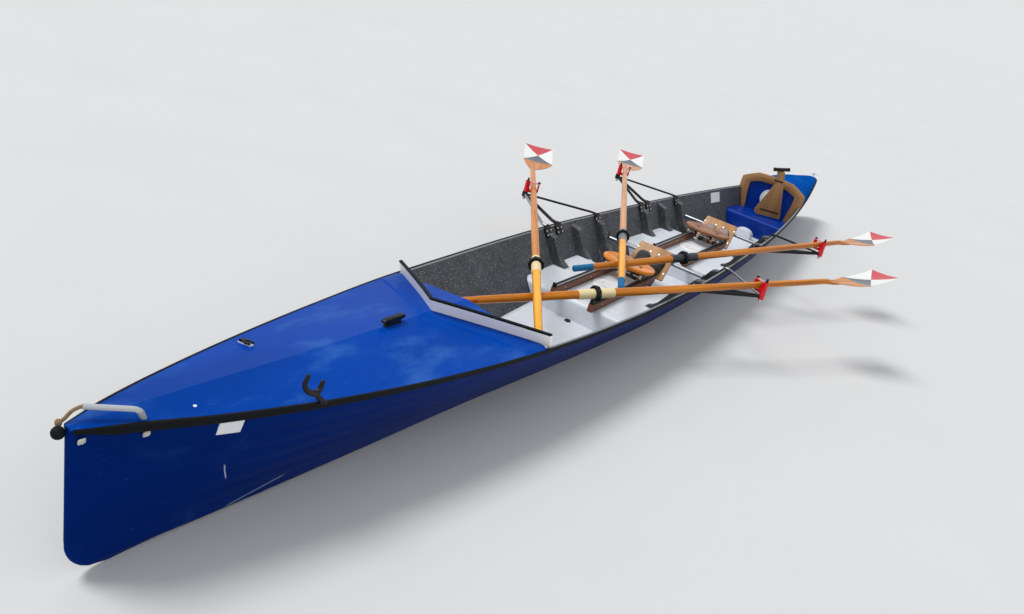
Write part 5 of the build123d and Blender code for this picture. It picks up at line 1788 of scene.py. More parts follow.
@dataclass
class BowFittings:
    """Ball on the stem, the hose-covered handle, the cleat and the forked clips."""

    ball: float = 0.018
    hose: float = 0.0080
    rope: float = 0.005
    knot: float = 0.0121
    handle_foot: float = 0.187
    knot_places: tuple[Pair, ...] = ((0.185, 0.033), (0.026, 0.028))  # aft, drop below the gunwale
    cleat_aft: float = 1.333
    standing_clip: Pair = (0.714, 0.224)  # aft, y
    folded_clip: Pair = (0.760, -0.166)
    screw: Pair = (0.343, 0.075)

    def on_deck(self, place: Pair, sink: float = 0.0) -> Vector:
        """Point on the foredeck, or a little under its surface, by how far aft and to port it is."""
        aft, y = place
        return Vector((HULL.x(aft), y, Foredeck().surface(aft, y) - sink))

    def build_handle(self) -> None:
        """Make the ball, the hose and the rope inside it."""
        ball = Shape()
        middle = Vector((HULL.x(0) + 0.015, -0.008, HULL.sheer(0) - 0.008))
        profile = []
        for k, t in enumerate(half_turn(28)):
            groove = 0.0012 if k in (13, 14) else 0.0
            profile.append((-math.cos(t) * self.ball, max(math.sin(t) * self.ball - groove, POLE)))
        ball.lathe(axes(middle, (0.2, 0, 1), (1, 0, 0)), profile, 32)
        ball.build("stem_ball", "boat", "rubber_black", [RUBBER], replaces=["bow_ball"])
        aft = self.handle_foot
        foot = Vector((HULL.x(aft), HULL.beam(aft) - 0.016, HULL.sheer(aft) + SIZES.deck - 0.002))
        rise = foot + Vector((0.015, 0, 0.035))
        fore = Vector((HULL.x(0.050), -0.010, HULL.sheer(0.042) + 0.048))
        ahead = (fore - rise).normalized()
        bend = corner_curve(foot.lerp(rise, 0.55), rise, rise + ahead * 0.022, 7)
        hose = Shape()
        hose.tube([foot, *bend, *[bend[-1].lerp(fore, t) for t in steps(0.1, 1, 12)]], self.hose, sides=24)
        hose.tube([foot, bend[0], bend[2]], [0.0096, 0.0096, 0.0091], sides=24, tag=1)
        hose.build("handle_hose", "boat", "hose_grey", [HOSE, HOSE_END], bevel=0.001,
                   replaces=["bow_handle_hose"])
        end = Vector((HULL.x(0), -0.030, HULL.sheer(0) + self.rope))
        cord, strands = Shape(), Shape()
        line = [fore - ahead * 0.02, fore, fore.lerp(end, 0.35) + Vector((0.004, -0.002, 0.004)),
                fore.lerp(end, 0.75), end]
        cord.tube(curve_through(line, 6), self.rope, sides=14)
        cord.ball(end, 0.0105, squeeze=0.8)
        for k in range(9):
            turn = math.tau * k / 9
            fall = -0.014 - 0.004 * (k % 3)
            tip = end + Vector((0.004 * math.cos(turn), 0.009 * math.sin(turn) - 0.004, fall))
            line = [end, end.lerp(tip, 0.5) + Vector((0.001, 0, 0)), tip]
            strands.tube(line, [0.0022, 0.0018, 0.0010], sides=7)
        cord.build("handle_rope", "boat", "rope_brown", [ROPE], replaces=["bow_handle_rope"])
        for aft, drop in self.knot_places:
            y = HULL.beam(aft) - drop * HULL.lean(aft) + self.knot * 0.75
            at = Vector((HULL.x(aft), y, HULL.sheer(aft) - drop))
            for twist in (-0.5, 0.5):
                ring = [Vector((0.0065 * math.cos(t), 0.0045 * math.sin(t), 0.0065 * math.sin(t + twist)))
                        for t in steps(0, math.tau * 0.98, 18)]
                strands.tube([at + step for step in ring], 0.0042, sides=10)
            strands.ball(at, 0.0075)
        strands.build("rope_ends", "boat", "rope_brown", [KNOT])

    def build_deck_fittings(self) -> None:
        """Make the cleat, the clips and the screw on the deck."""
        cleat = Shape()
        place = Matrix.Translation(self.on_deck((self.cleat_aft, 0.0))) @ Matrix.Rotation(math.pi / 2, 4, "X")
        horn = [(0.046, -0.002), (0.044, 0.006), (0.038, 0.010), (0.040, 0.013), (0.054, 0.015),
                (0.062, 0.019), (0.063, 0.025), (0.058, 0.030), (0.046, 0.032)]
        cleat.prism(place, horn + [(-x, up) for x, up in reversed(horn)], -0.010, 0.010)
        cleat.build("horn_cleat", "boat", "black_plastic", [BLACK], bevel=0.0028, replaces=["bow_cleat"])
        clips = Shape()
        foot = self.on_deck(self.standing_clip, 0.002)
        clips.lathe(upright(foot), [(0, 0.014), (0.005, 0.014), (0.008, 0.011), (0.009, 0.006)], 24)
        for line in (((0, 0), (0.020, 0.022), (0.042, 0.044)),
                     ((0.042, 0.044), (0.080, 0.066), (0.100, 0.096), (0.092, 0.122)),
                     ((0.042, 0.044), (0.027, 0.056), (0.018, 0.079))):
            path = curve_through([foot + Vector((fore, 0, up)) for fore, up in line], 7)
            clips.tube(path, [0.0105 - 0.0035 * k / len(path) for k in range(len(path))], sides=18)
            clips.ball(path[-1], 0.0075)
        here, (aft, y) = self.on_deck(self.folded_clip), self.folded_clip
        lie = axes(here + Vector((0, 0, 0.0015)), self.on_deck((aft, y + 0.01)) - here)
        clips.block(lie, (0.056, 0.018, 0.005), 1)
        clips.block(lie @ Matrix.Translation((-0.014, 0, 0.007)), (0.020, 0.016, 0.010))
        for across in (-0.008, 0.008):
            line = [(-0.014, 0.0), (0.006, across * 1.3), (0.024, across)]
            path = curve_through([lie @ Vector((along, out, 0.008)) for along, out in line], 6)
            clips.tube(path, 0.0045, sides=14)
            clips.ball(path[-1], 0.0048)
        clips.build("fork_clips", "boat", "black_plastic", [BLACK, FITTING], replaces=["deck_fork_clips"])
        screw = Shape()
        screw.lathe(upright(self.on_deck(self.screw, 0.0005)), [
            (0, 0.006), (0.0015, 0.0055), (0.0025, 0.003), (0.0026, 0.0001)], 20)
        screw.build("deck_screw", "boat", "fitting_white", [FITTING])

    def build(self) -> None:
        """Make everything on the bow."""
        self.build_handle()
        self.build_deck_fittings()


# Rowing stations


@dataclass
class Slides:
    """Rails of one station on their wooden bearers."""

    rower: Rower
    reach_fore: float = 0.708
    rail_height: float = 0.012
    bearer: Pair = (0.030, 0.046)

    def build(self) -> None:
        """Make the rails with their stops, and the bearers."""
        rails, bearers = Shape(), Shape()
        fore, back = self.rower.pin_aft - self.reach_fore, self.rower.pin_aft + self.rower.rail_aft
        length, middle, foot = back - fore, HULL.x((fore + back) / 2), SIZES.rail_top - self.rail_height
        for side in Side:
            y = side.value * SIZES.rail_y
            # outward, up, then length, width, height and finish of the rail's base, lips and tread
            for out, up, *size, tag in ((0.0, 0.003, length, 0.022, 0.006, 0),
                                        (0.0090, 0.008, length, 0.004, 0.008, 0),
                                        (-0.0085, 0.008, length, 0.005, 0.008, 1),
                                        (0.0, 0.0075, length - 0.02, 0.012, 0.007, 0)):
                rails.block(Matrix.Translation((middle, y + side.value * out, foot + up)), size, tag)
            for end in (fore + 0.006, back - 0.006):
                rails.block(Matrix.Translation((HULL.x(end), y, foot + 0.011)), (0.0125, 0.023, 0.0225), 2)
            wide, high = self.bearer
            place = Matrix.Translation((middle, y, SIZES.platform + high / 2))
            bearers.block(place, (length - 0.002, wide, high))
            for share in (-0.36, 0.0, 0.36):
                for face in (-1, 1):
                    at = (middle + share * length, y + face * 0.0148, SIZES.platform + 0.026)
                    profile = [(0, 0.0052), (0.0012, 0.0048), (0.0018, 0.0001)]
                    bearers.lathe(axes(at, (0, face, 0), (1, 0, 0)), profile, 14, tag=1)
        name = self.rower.name
        rails.build(f"{name}_rail_pair", "boat", "rail_aluminium", [RAIL_BLACK, SILVER, BLACK], bevel=0.0008,
                    replaces=[f"{name}_seat_rails"])
        bearers.build(f"{name}_bearer_pair", "boat", "wood_brown", [BEARER, STEEL], bevel=0.0025,
                      replaces=[f"{name}_rail_bearers"])


@dataclass
class Seat:
    """Sliding seat of one station: a dished top on a carriage with four wheels."""

    rower: Rower
    finish: Finish
    half_length: float = 0.1075
    half_width: float = 0.170
    notch: float = 0.031
    top: float = 0.300
    thickness: float = 0.020
    wheel_base: float = 0.120
    wheel_radius: float = 0.013
    hollow_aft: float = 0.008
    hollow_y: float = 0.076
    hollow_reach: Pair = (0.078, 0.070)
    hollow_depth: float = 0.0085
    rim_points: int = 120

    def rim(self, turn: float) -> float:
        """Distance from the middle to the edge of the seat.

        Args:
            turn: Direction, from forward towards port.

        Returns:
            The distance.
        """
        c, s = math.cos(turn), math.sin(turn)
        edge = 1 / math.sqrt((c / self.half_length) ** 2 + (s / self.half_width) ** 2)
        near = -self.half_length * c
        inside = near * near - self.half_length**2 + self.notch**2
        if near > 0 and inside > 0:
            edge = min(edge, near - math.sqrt(inside))
        return edge

    def dish(self, x: float, y: float) -> float:
        """Depth of the two hollows at a point."""
        hollow = 0.0
        for side in Side:
            along, across = (x + self.hollow_aft), (y - side.value * self.hollow_y)
            reach = math.hypot(along / self.hollow_reach[0], across / self.hollow_reach[1])
            hollow = max(hollow, self.hollow_depth * (1 - ease(reach)))
        return hollow

    def build(self) -> None:
        """Make the top and the carriage."""
        name, body = self.rower.name, f"{self.rower.name}_seat"
        x, count = HULL.x(self.rower.pin_aft), self.rim_points
        turns = [math.tau * k / count for k in range(count)]
        raw = [self.rim(t) for t in turns]
        spread = ((-2, 1), (-1, 2), (0, 3), (1, 2), (2, 1))
        rims = [sum(raw[(k + step) % count] * weight for step, weight in spread) / 9 for k in range(count)]
        # share of the rim's distance, drop below the top, whether the hollows reach it
        profile = [(share, 0.0, True) for share in (0.0, *steps(0.12, 0.93, 10))]
        profile += [(0.965, -0.0008, True), (0.985, -0.0026, True), (0.996, -0.0055, True),
                    (1.0, -0.010, False), (0.996, -0.0150, False), (0.980, -0.0185, False),
                    (0.95, -self.thickness, False), (0.0, -self.thickness, False)]
        rows, own = [], []
        for share, drop, upper in profile:
            row = []
            for turn, rim in zip(turns, rims):
                px, py = rim * share * math.cos(turn), rim * share * math.sin(turn)
                sink = self.dish(px, py) if upper else 0.0
                row.append(Vector((px, py, drop - sink)))
            rows.append([Vector((x, 0, self.top)) + p for p in row])
            own.append([Vector((p.y, p.x, p.z)) for p in row])
        shape = Shape()
        shape.grid(rows, own, around=True)
        # a thin near-black disc at the bottom of each hollow is painted shade
        for side in Side:
            at = (x - self.hollow_aft, side.value * self.hollow_y, self.top - self.hollow_depth - 0.0003)
            shape.lathe(upright(at), [(0, 0.0125), (0.0012, 0.0120), (0.0012, 0.0001)], 28, tag=1)
        shape.build(f"{name}_seat_pad", body, "seat_orange", [self.finish, PAINTED_SHADE],
                    replaces=[f"{name}_seat_top"])
        carriage, wheel = Shape(), self.wheel_radius
        axle_z, frame_z = SIZES.rail_top + 0.0004 + wheel, self.top - self.thickness
        for side in Side:
            y = side.value * SIZES.rail_y
            rail = Matrix.Translation((x, y / 2, frame_z - 0.003))
            carriage.block(rail, (self.wheel_base + 0.016, 0.016, 0.006))
            for end in (-0.5, 0.5):
                leg_x = x + end * self.wheel_base
                leg = Matrix.Translation((leg_x, y / 2, (axle_z + frame_z) / 2 - 0.002))
                carriage.block(leg, (0.016, 0.014, frame_z - axle_z + 0.008))
                hub = axes((leg_x, y - 0.004, axle_z), (0, 1, 0))
                tyre = [(0.0, 0.0095), (0.0005, 0.0120), (0.0018, wheel), (0.0062, wheel), (0.0075, 0.0120),
                        (0.008, 0.0095)]
                carriage.lathe(hub, tyre, 36, tag=1)
                carriage.lathe(hub, [(-0.0012, 0.006), (0.0092, 0.006)], 20)
        for end in (-0.5, 0.5):
            start = Vector((x + end * self.wheel_base, -SIZES.rail_y - 0.006, axle_z))
            carriage.tube([start, start + Vector((0, 2 * SIZES.rail_y + 0.012, 0))], 0.004, 14, tag=2)
        carriage.build(f"{name}_wheels", body, "black_plastic", [BLACK, WHEEL, STEEL], bevel=0.0008,
                       replaces=[f"{name}_seat_carriage"])


@dataclass
class Stretcher:
    """Cross tube, foot board and shoes of one station."""

    rower: Rower
    shoe: Finish
    tube_z: float = 0.253
    tube_radius: float = 0.011
    bracket: float = 0.044
    board: tuple[float, float, float] = (0.270, 0.205, 0.014)
    board_drop: float = 0.050
    shoe_drop: float = 0.055
    tilt: float = math.radians(42)
    shoe_y: float = 0.054
    mouth_at: float = -0.084
    mouth: Pair = (0.034, 0.022)
    lift: float = 0.0005  # gap between the board's face and the shoes

    def frame_on_board(self) -> Matrix:
        """Frame on the middle of the board: X up its slope, Y to starboard, Z out of its face."""
        x = HULL.x(self.rower.pin_aft + self.rower.tube_aft)
        lie, rise = math.cos(self.tilt), math.sin(self.tilt)
        away = self.tube_radius + 0.016 + self.board[2] / 2 + self.lift
        drop = self.board_drop
        middle = (x + away * lie + drop * rise, 0, self.tube_z + away * rise - drop * lie)
        return axes(middle, (-rise, 0, lie), (lie, 0, rise))

    def build_tube(self) -> None:
        """Make the tube with a bracket and a knob at each end."""
        shape, aft = Shape(), self.rower.pin_aft + self.rower.tube_aft
        x = HULL.x(aft)
        reach = HULL.wall_y(aft, self.tube_z - self.bracket / 2, SIZES.inner) - 0.001
        ends = [Vector((x, side.value * (reach - 0.004), self.tube_z)) for side in Side]
        shape.tube(ends, self.tube_radius, 28)
        for side in Side:
            y = side.value * (reach - 0.013)
            shape.block(Matrix.Translation((x, y, self.tube_z)), (self.bracket, 0.026, self.bracket), 1)
            knob = axes((x, side.value * (reach - 0.026), self.tube_z), (0, -side.value, 0), (1, 0, 0))
            shape.lathe(knob, [(0, 0.018), (0.012, 0.017), (0.016, 0.013)], 24, tag=1)
            bolt = upright((x, y, self.tube_z + 0.021))
            shape.lathe(bolt, [(0, 0.007), (0.006, 0.0066), (0.007, 0.0001)], 6, tag=2)
        shape.build(f"{self.rower.name}_cross_tube", "boat", "rigger_metal", [SILVER, BLACK, STEEL],
                    bevel=0.0025, replaces=[f"{self.rower.name}_stretcher_tube"])

    def build_board(self) -> None:
        """Make the board and its leg."""
        shape, place = Shape(), self.frame_on_board()
        wide, high, thick = self.board
        upper = wide / 2 - 0.012
        corners = [(-high / 2, -wide / 2), (high / 2, -upper), (high / 2, upper), (-high / 2, wide / 2)]
        shape.prism(place, round_corners(corners, 0.012, 7), -thick / 2, thick / 2)
        centre_z = place.translation.z
        run = (centre_z - SIZES.sole - 0.006) / math.cos(self.tilt) + self.board_drop
        leg = place @ Matrix.Translation((self.board_drop - run / 2, 0, -0.008 - thick / 2))
        shape.block(leg, (run, 0.088, 0.016))
        for along in (-0.055, 0.055):
            for across in (-0.120, -0.030, 0.030, 0.120):
                at = place @ Vector((along, across, thick / 2 - 0.0004))
                profile = [(0, 0.0065), (0.0012, 0.006), (0.002, 0.0001)]
                shape.lathe(axes(at, place.col[2].xyz, (0, 1, 0)), profile, 14, tag=1)
        shape.build(f"{self.rower.name}_foot_board", "boat", "wood_brown", [BOARD_TAN, STEEL], bevel=0.003,
                    replaces=[f"{self.rower.name}_stretcher_board"])

    def shoe_row(self, place: Matrix, middle: float, along: float, half: float, high: float,
                 grow: float = 0.0) -> tuple[list[Vector], list[Vector]]:
        """Section of a shoe across its length.

        Args:
            place: Frame on the board.
            middle: Y of the shoe's middle.
            along: Place along its length, toes positive.
            half: Half width.
            high: Height of the upper.
            grow: How far outside the upper.

        Returns:
            Points in space, and the shoe's own coordinates of each.
        """
        points, own = [], []
        base = self.board[2] / 2 + self.lift
        for turn in half_turn(20):
            c, s = math.cos(turn), math.sin(turn)
            y = (half + grow) * math.copysign(abs(c) ** 0.62, c)
            z = (high + grow) * s**0.72 if s > 0 else 0.0
            points.append(place @ Vector((along, middle + y, base + z)))
            own.append(Vector((along, y, z)))
        return points, own

    def build_shoes(self) -> None:
        """Make the pair of shoes with collar and straps."""
        shape, place = Shape(), self.frame_on_board() @ Matrix.Translation((-self.shoe_drop, 0, 0))
        # along, half width, height
        profile = [(-0.125, 0.016, 0.026), (-0.122, 0.026, 0.050), (-0.114, 0.032, 0.068),
                   (-0.098, 0.035, 0.078), (-0.080, 0.035, 0.079), (-0.060, 0.033, 0.075),
                   (-0.038, 0.032, 0.064), (-0.014, 0.034, 0.053), (0.014, 0.038, 0.045),
                   (0.040, 0.041, 0.038), (0.063, 0.041, 0.032), (0.080, 0.036, 0.026),
                   (0.091, 0.026, 0.019), (0.097, 0.010, 0.011)]
        base = self.board[2] / 2 + self.lift
        for side in Side:
            middle = side.value * self.shoe_y
            rows, own = zip(*(self.shoe_row(place, middle, *entry) for entry in profile))
            first, width = shape.grid(rows, own), len(rows[0])
            for a in range(first, first + (len(rows) - 1) * width, width):
                shape.face((a, a + width - 1, a + 2 * width - 1, a + width), 1)
            shape.close_ends(first, len(rows), width)
            sole = [(x, middle + y) for x, y in self.sole_outline(profile)]
            shape.prism(place, sole, base - 0.0003, base + 0.010, tag=1)
            ring = [place @ Vector((along, y, base + 0.0745 - 0.004 * math.cos(t)))
                    for t, along, y in self.mouth_line(middle, 33)]
            shape.tube(ring, 0.0065, 12)
            # the mouth is capped by a near-black lid, painted shade for the inside of the shoe
            mouth = [(along, y) for _, along, y in self.mouth_line(middle, 25)[:-1]]
            shape.prism(place, mouth, base + 0.066, base + 0.0785, tag=3)
            for along, half, high in ((-0.028, 0.0330, 0.0595), (0.010, 0.0374, 0.0462)):
                strap = []
                for grow in (0.0030, 0.0004):
                    edges = ((along + shift, half, high - 0.25 * shift, grow) for shift in (-0.012, 0.012))
                    strap.append([self.shoe_row(place, middle, *edge)[0] for edge in edges])
                shape.slab(*strap, tag=lambda row: 2)
        shape.build(f"{self.rower.name}_shoes", "boat", "shoe_black", [self.shoe, RUBBER, STRAP, SHOE_BLACK],
                    replaces=[f"{self.rower.name}_stretcher_shoes"])

    def mouth_line(self, middle: float, count: int) -> list[tuple[float, float, float]]:
        """Angle, place along and Y of points round the mouth of a shoe."""
        return [(t, self.mouth_at + self.mouth[0] * math.cos(t), middle + self.mouth[1] * math.sin(t))
                for t in steps(0, math.tau, count)]

    def sole_outline(self, profile: Sequence[tuple[float, float, float]]) -> Outline:
        """Outline of a shoe's sole, a little outside the upper."""
        right = [(along, half + 0.003) for along, half, _ in profile]
        return right + [(along, -half) for along, half in reversed(right)]

    def build(self) -> None:
        """Make the whole stretcher."""
        self.build_tube()
        self.build_board()
        self.build_shoes()


# Sculls, locks and riggers

SHAFT_RADIUS = 0.0225  # at the sleeve
SILL = 0.009  # thickness of a lock's foot
PIN_RADIUS = 0.0065


@dataclass(frozen=True)
class Scull:
    """One scull as it lies, with its finishes."""

    rower: Rower
    side: Side
    sweep: float
    tilt: float
    tip_out: float
    shaft_z: float
    wood: Finish
    inboard: Finish
    sleeve: Finish
    grip: Finish
    collar_at: float = 0.870
    sleeve_out: float = 0.110
    feather: float = 0.0
    beside_pin: float = 0.042

    @property
    def name(self) -> str:
        """Name of the scull, as node names begin."""
        return f"{self.rower.name}_{self.side.word}"

    @property
    def sill(self) -> float:
        """Height of the foot of its lock: below the shaft, its gap and the lock's sill."""
        return self.shaft_z - SHAFT_RADIUS - 0.0015 - SILL

    def plane(self, height: float) -> Matrix:
        """Frame on the pin axis, X along the shaft to the handle."""
        turn = math.radians(self.sweep)
        origin = (HULL.x(self.rower.pin_aft), self.side.value * SIZES.pin_y, height)
        return axes(origin, (math.sin(turn), -self.side.value * math.cos(turn), 0))

    def shaft(self) -> Matrix:
        """Frame on the shaft beside the pin, X to the handle."""
        aside = Matrix.Translation((0, -self.side.value * self.beside_pin, 0))
        tilt = Matrix.Rotation(math.radians(self.tilt), 4, "Y")
        return self.plane(self.shaft_z) @ aside @ tilt @ Matrix.Rotation(math.radians(self.feather), 4, "X")


@dataclass
class ScullBuilder:
    """Makes the meshes of one scull and its lock."""

    scull: Scull
    length: float = 2.950
    blade: float = 0.480
    throat: float = 0.230  # where the blade has opened up to its full breadth, and its paint starts
    stem: Pair = (-0.017, 0.017)  # edges of the blade where it starts
    spread: Pair = (-0.045, 0.125)  # how far each edge moves out to full breadth
    blade_middle: float = 0.040
    spine: float = 0.009  # the middle of the blade's thickness lies half of this above its back
    dip: Pair = (-0.17083, 0.46875)  # slope and curve of the blade's back along its length
    panel_half: Pair = (0.125, 0.102)  # half length and half breadth of the painted tip
    lock_near: float = 0.0165
    lock_far: float = 0.0755
    lock_high: float = 0.059
    sleeve_radii: tuple[float, float, float] = (0.0232, 0.0247, 0.0252)
    button: float = 0.0405
    lobes: int = 9
    grip_length: float = 0.1349

    @property
    def handle(self) -> float:
        """Distance from the lock to the end of the handle."""
        return self.length - self.scull.tip_out

    def back(self, along: float) -> float:
        """Height of the blade's back above the shaft's axis, by the distance past the neck."""
        slope, curve = self.dip
        return slope * along + curve * along * along

    def build_lock(self) -> None:
        """Make the swivel lock with its gate and locking nut."""
        scull = self.scull
        plane, to_shaft = scull.plane(scull.sill), -scull.side.value
        x, y, z = (plane.col[k].xyz for k in range(3))
        out = y * to_shaft
        turn = Matrix((out, z, out.cross(z))).transposed().to_4x4()
        place = Matrix.Translation(plane.translation) @ turn
        shape = Shape()
        near, far, high = self.lock_near, self.lock_far, self.lock_high
        outline = [(0.0, 0.0), (far - 0.014, 0.0), (far - 0.004, 0.004), (far, 0.014), (far, high),
                   (far - 0.008, high), (far - 0.008, SILL + 0.020), (far - 0.011, SILL + 0.010),
                   (far - 0.019, SILL + 0.003), (scull.beside_pin, SILL - 0.0005),
                   (near + 0.012, SILL + 0.003), (near + 0.003, SILL + 0.010), (near, SILL + 0.020),
                   (near, high), (near - 0.006, high), (near - 0.008, SILL + 0.016), (0.0, SILL + 0.012)]
        shape.prism(place, outline, -0.018, 0.018)
        sleeve = Matrix.Translation(plane.translation) @ Matrix((z, x, y)).transposed().to_4x4()
        shape.lathe(sleeve, [(0.0, 0.0155), (0.006, 0.0155), (0.008, 0.014), (0.058, 0.014), (0.060, 0.0155),
                             (0.066, 0.0155), (0.066, 0.0075)])
        gate = place @ Matrix.Translation((far / 2 + 0.004, 0.0625, 0))
        shape.block(gate, (far - 0.004, 0.007, 0.013), 1)
        knob = place @ Matrix.Translation((far - 0.004, high, 0)) @ Matrix.Rotation(math.pi / 2, 4, "Z")
        shape.lathe(knob, [(-0.018, 0.004), (0.0, 0.004), (0.0, 0.0065), (0.0062, 0.0065), (0.0062, 0.009),
                           (0.0140, 0.009), (0.0155, 0.0075), (0.0155, 0.0001)], 20, tag=2)
        name = scull.name
        shape.build(f"{name}_lock", f"{name}_scull", "lock_red", [RED, GATE, BLACK], bevel=0.0022,
                    replaces=[f"{name}_oarlock"])

    def blade_shape(self, shape: Shape) -> None:
        """Add the spoon blade with the painted quarters of its tip.

        Args:
            shape: The scull's shape.
        """
        place, throat, middle = self.scull.shaft(), self.throat, self.blade_middle
        neck, top, under, own = self.handle - (self.length - self.blade), [], [], []
        columns = (0.0, 0.03, 0.10, 0.22, 0.35, 0.5, 0.65, 0.78, 0.90, 0.97, 1.0)
        places = steps(0, throat, 18) + steps(throat + 0.0005, self.blade - 0.012, 18)
        places += [self.blade - short for short in (0.006, 0.002, 0.0)]
        for u in places:
            open_up = ease(u / throat) * 0.35 + min(u / throat, 1.0) * 0.65
            tuck = 0.010 * ease((u - 0.455) / 0.025) ** 2
            low = self.stem[0] + self.spread[0] * open_up + tuck
            high = self.stem[1] + self.spread[1] * open_up - tuck
            for row in (top, under, own):
                row.append([])
            for share in columns:
                v = low + (high - low) * share
                curl = 0.010 * open_up * ((v - middle) / 0.10) ** 2
                thick = 0.0030 + 0.0052 * ease(min(share, 1 - share) / 0.35)
                z = self.back(u) + curl + (self.spine - thick) / 2
                under[-1].append(place @ Vector((neck - u, v, z)))
                top[-1].append(place @ Vector((neck - u, v, z + thick)))
                own[-1].append(Vector((u, v, z)))
        first = len(shape.points)
        shape.slab(top, under, own, tag=lambda row: int(places[row] > throat))
        half_length, half_breadth = self.panel_half
        for index in range(first, len(shape.points)):
            u, v, _ = shape.local[index]
            along = (u - (self.blade - half_length)) / half_length
            shape.panel[index] = Vector((along, (v - middle) / half_breadth, 0))

    def build_shaft(self) -> None:
        """Make the shaft with its blade."""
        scull, place, neck = self.scull, self.scull.shaft(), self.length - self.blade
        # distance from the end of the handle, radius
        stops = [(0.130, 0.0188), (0.137, 0.0190), (0.35, 0.0202), (0.60, 0.0214), (0.87, SHAFT_RADIUS),
                 (1.20, 0.0214), (1.60, 0.0200), (2.00, 0.0186), (2.30, 0.0176), (neck, 0.0165),
                 (neck + 0.06, 0.0150), (neck + 0.12, 0.0122), (neck + 0.19, 0.0085), (neck + 0.26, 0.0050)]
        path = [place @ Vector((self.handle - at, 0, self.back(max(at - neck, 0.0)))) for at, _ in stops]
        radii = [radius for _, radius in stops]
        shape = Shape()
        joint = next(k for k, (at, _) in enumerate(stops) if at >= scull.collar_at)
        shape.tube(path[joint:], radii[joint:], 26)
        shape.tube(path[: joint + 1], radii[: joint + 1], 26, tag=2)
        self.blade_shape(shape)
        name = scull.name
        shape.build(f"{name}_shaft_and_blade", f"{name}_scull", "wood_varnished",
                    [scull.wood, BLADE, scull.inboard], replaces=[f"{name}_scull_shaft"])

    def build_sleeve_and_grip(self) -> None:
        """Make the sleeve with its lobed button, and the ribbed grip."""
        scull, place = self.scull, self.scull.shaft()
        handle, name = self.handle, scull.name
        at = place @ Matrix.Translation((handle - scull.collar_at, 0, 0))
        shape, out, (end, near, full) = Shape(), -scull.sleeve_out, self.sleeve_radii
        shape.lathe(at, [(out, end), (out + 0.002, near), (out + 0.010, full), (0.100, full), (0.108, near),
                         (0.110, end)], 36)
        turned = at @ Matrix.Rotation(math.pi / 2, 4, "Y")
        outline = []
        for k in range(8 * self.lobes):
            turn = math.tau * k / (8 * self.lobes)
            radius = self.button + 0.0015 * math.cos(self.lobes * turn)
            outline.append((radius * math.cos(turn), radius * math.sin(turn)))
        shape.prism(turned, outline, -0.011, 0.011, tag=1)
        shape.lathe(at, [(-0.0125, 0.0300), (0.0125, 0.0300)], 36, tag=1)
        shape.build(f"{name}_collar", f"{name}_scull", "sleeve_cream", [scull.sleeve, BLACK], bevel=0.0018,
                    replaces=[f"{name}_scull_sleeve"])
        grip = Shape()
        ribs = [(x, 0.0172 if k % 2 else 0.0180) for k, x in enumerate(steps(0.006, 0.129, 34))]
        profile = [(0.0, 0.0120), (0.0015, 0.0155), (0.004, 0.0175), *ribs, (0.132, 0.0192),
                   (self.grip_length, 0.0192)]
        flip = place @ Matrix.Translation((handle, 0, 0)) @ Matrix.Rotation(math.pi, 4, "Z")
        grip.lathe(flip, profile, 32)
        grip.build(f"{name}_hand_grip", f"{name}_scull", "grip_blue", [scull.grip],
                   replaces=[f"{name}_scull_grip"])

    def build(self) -> None:
        """Make the lock and the scull."""
        self.build_lock()
        self.build_shaft()
        self.build_sleeve_and_grip()


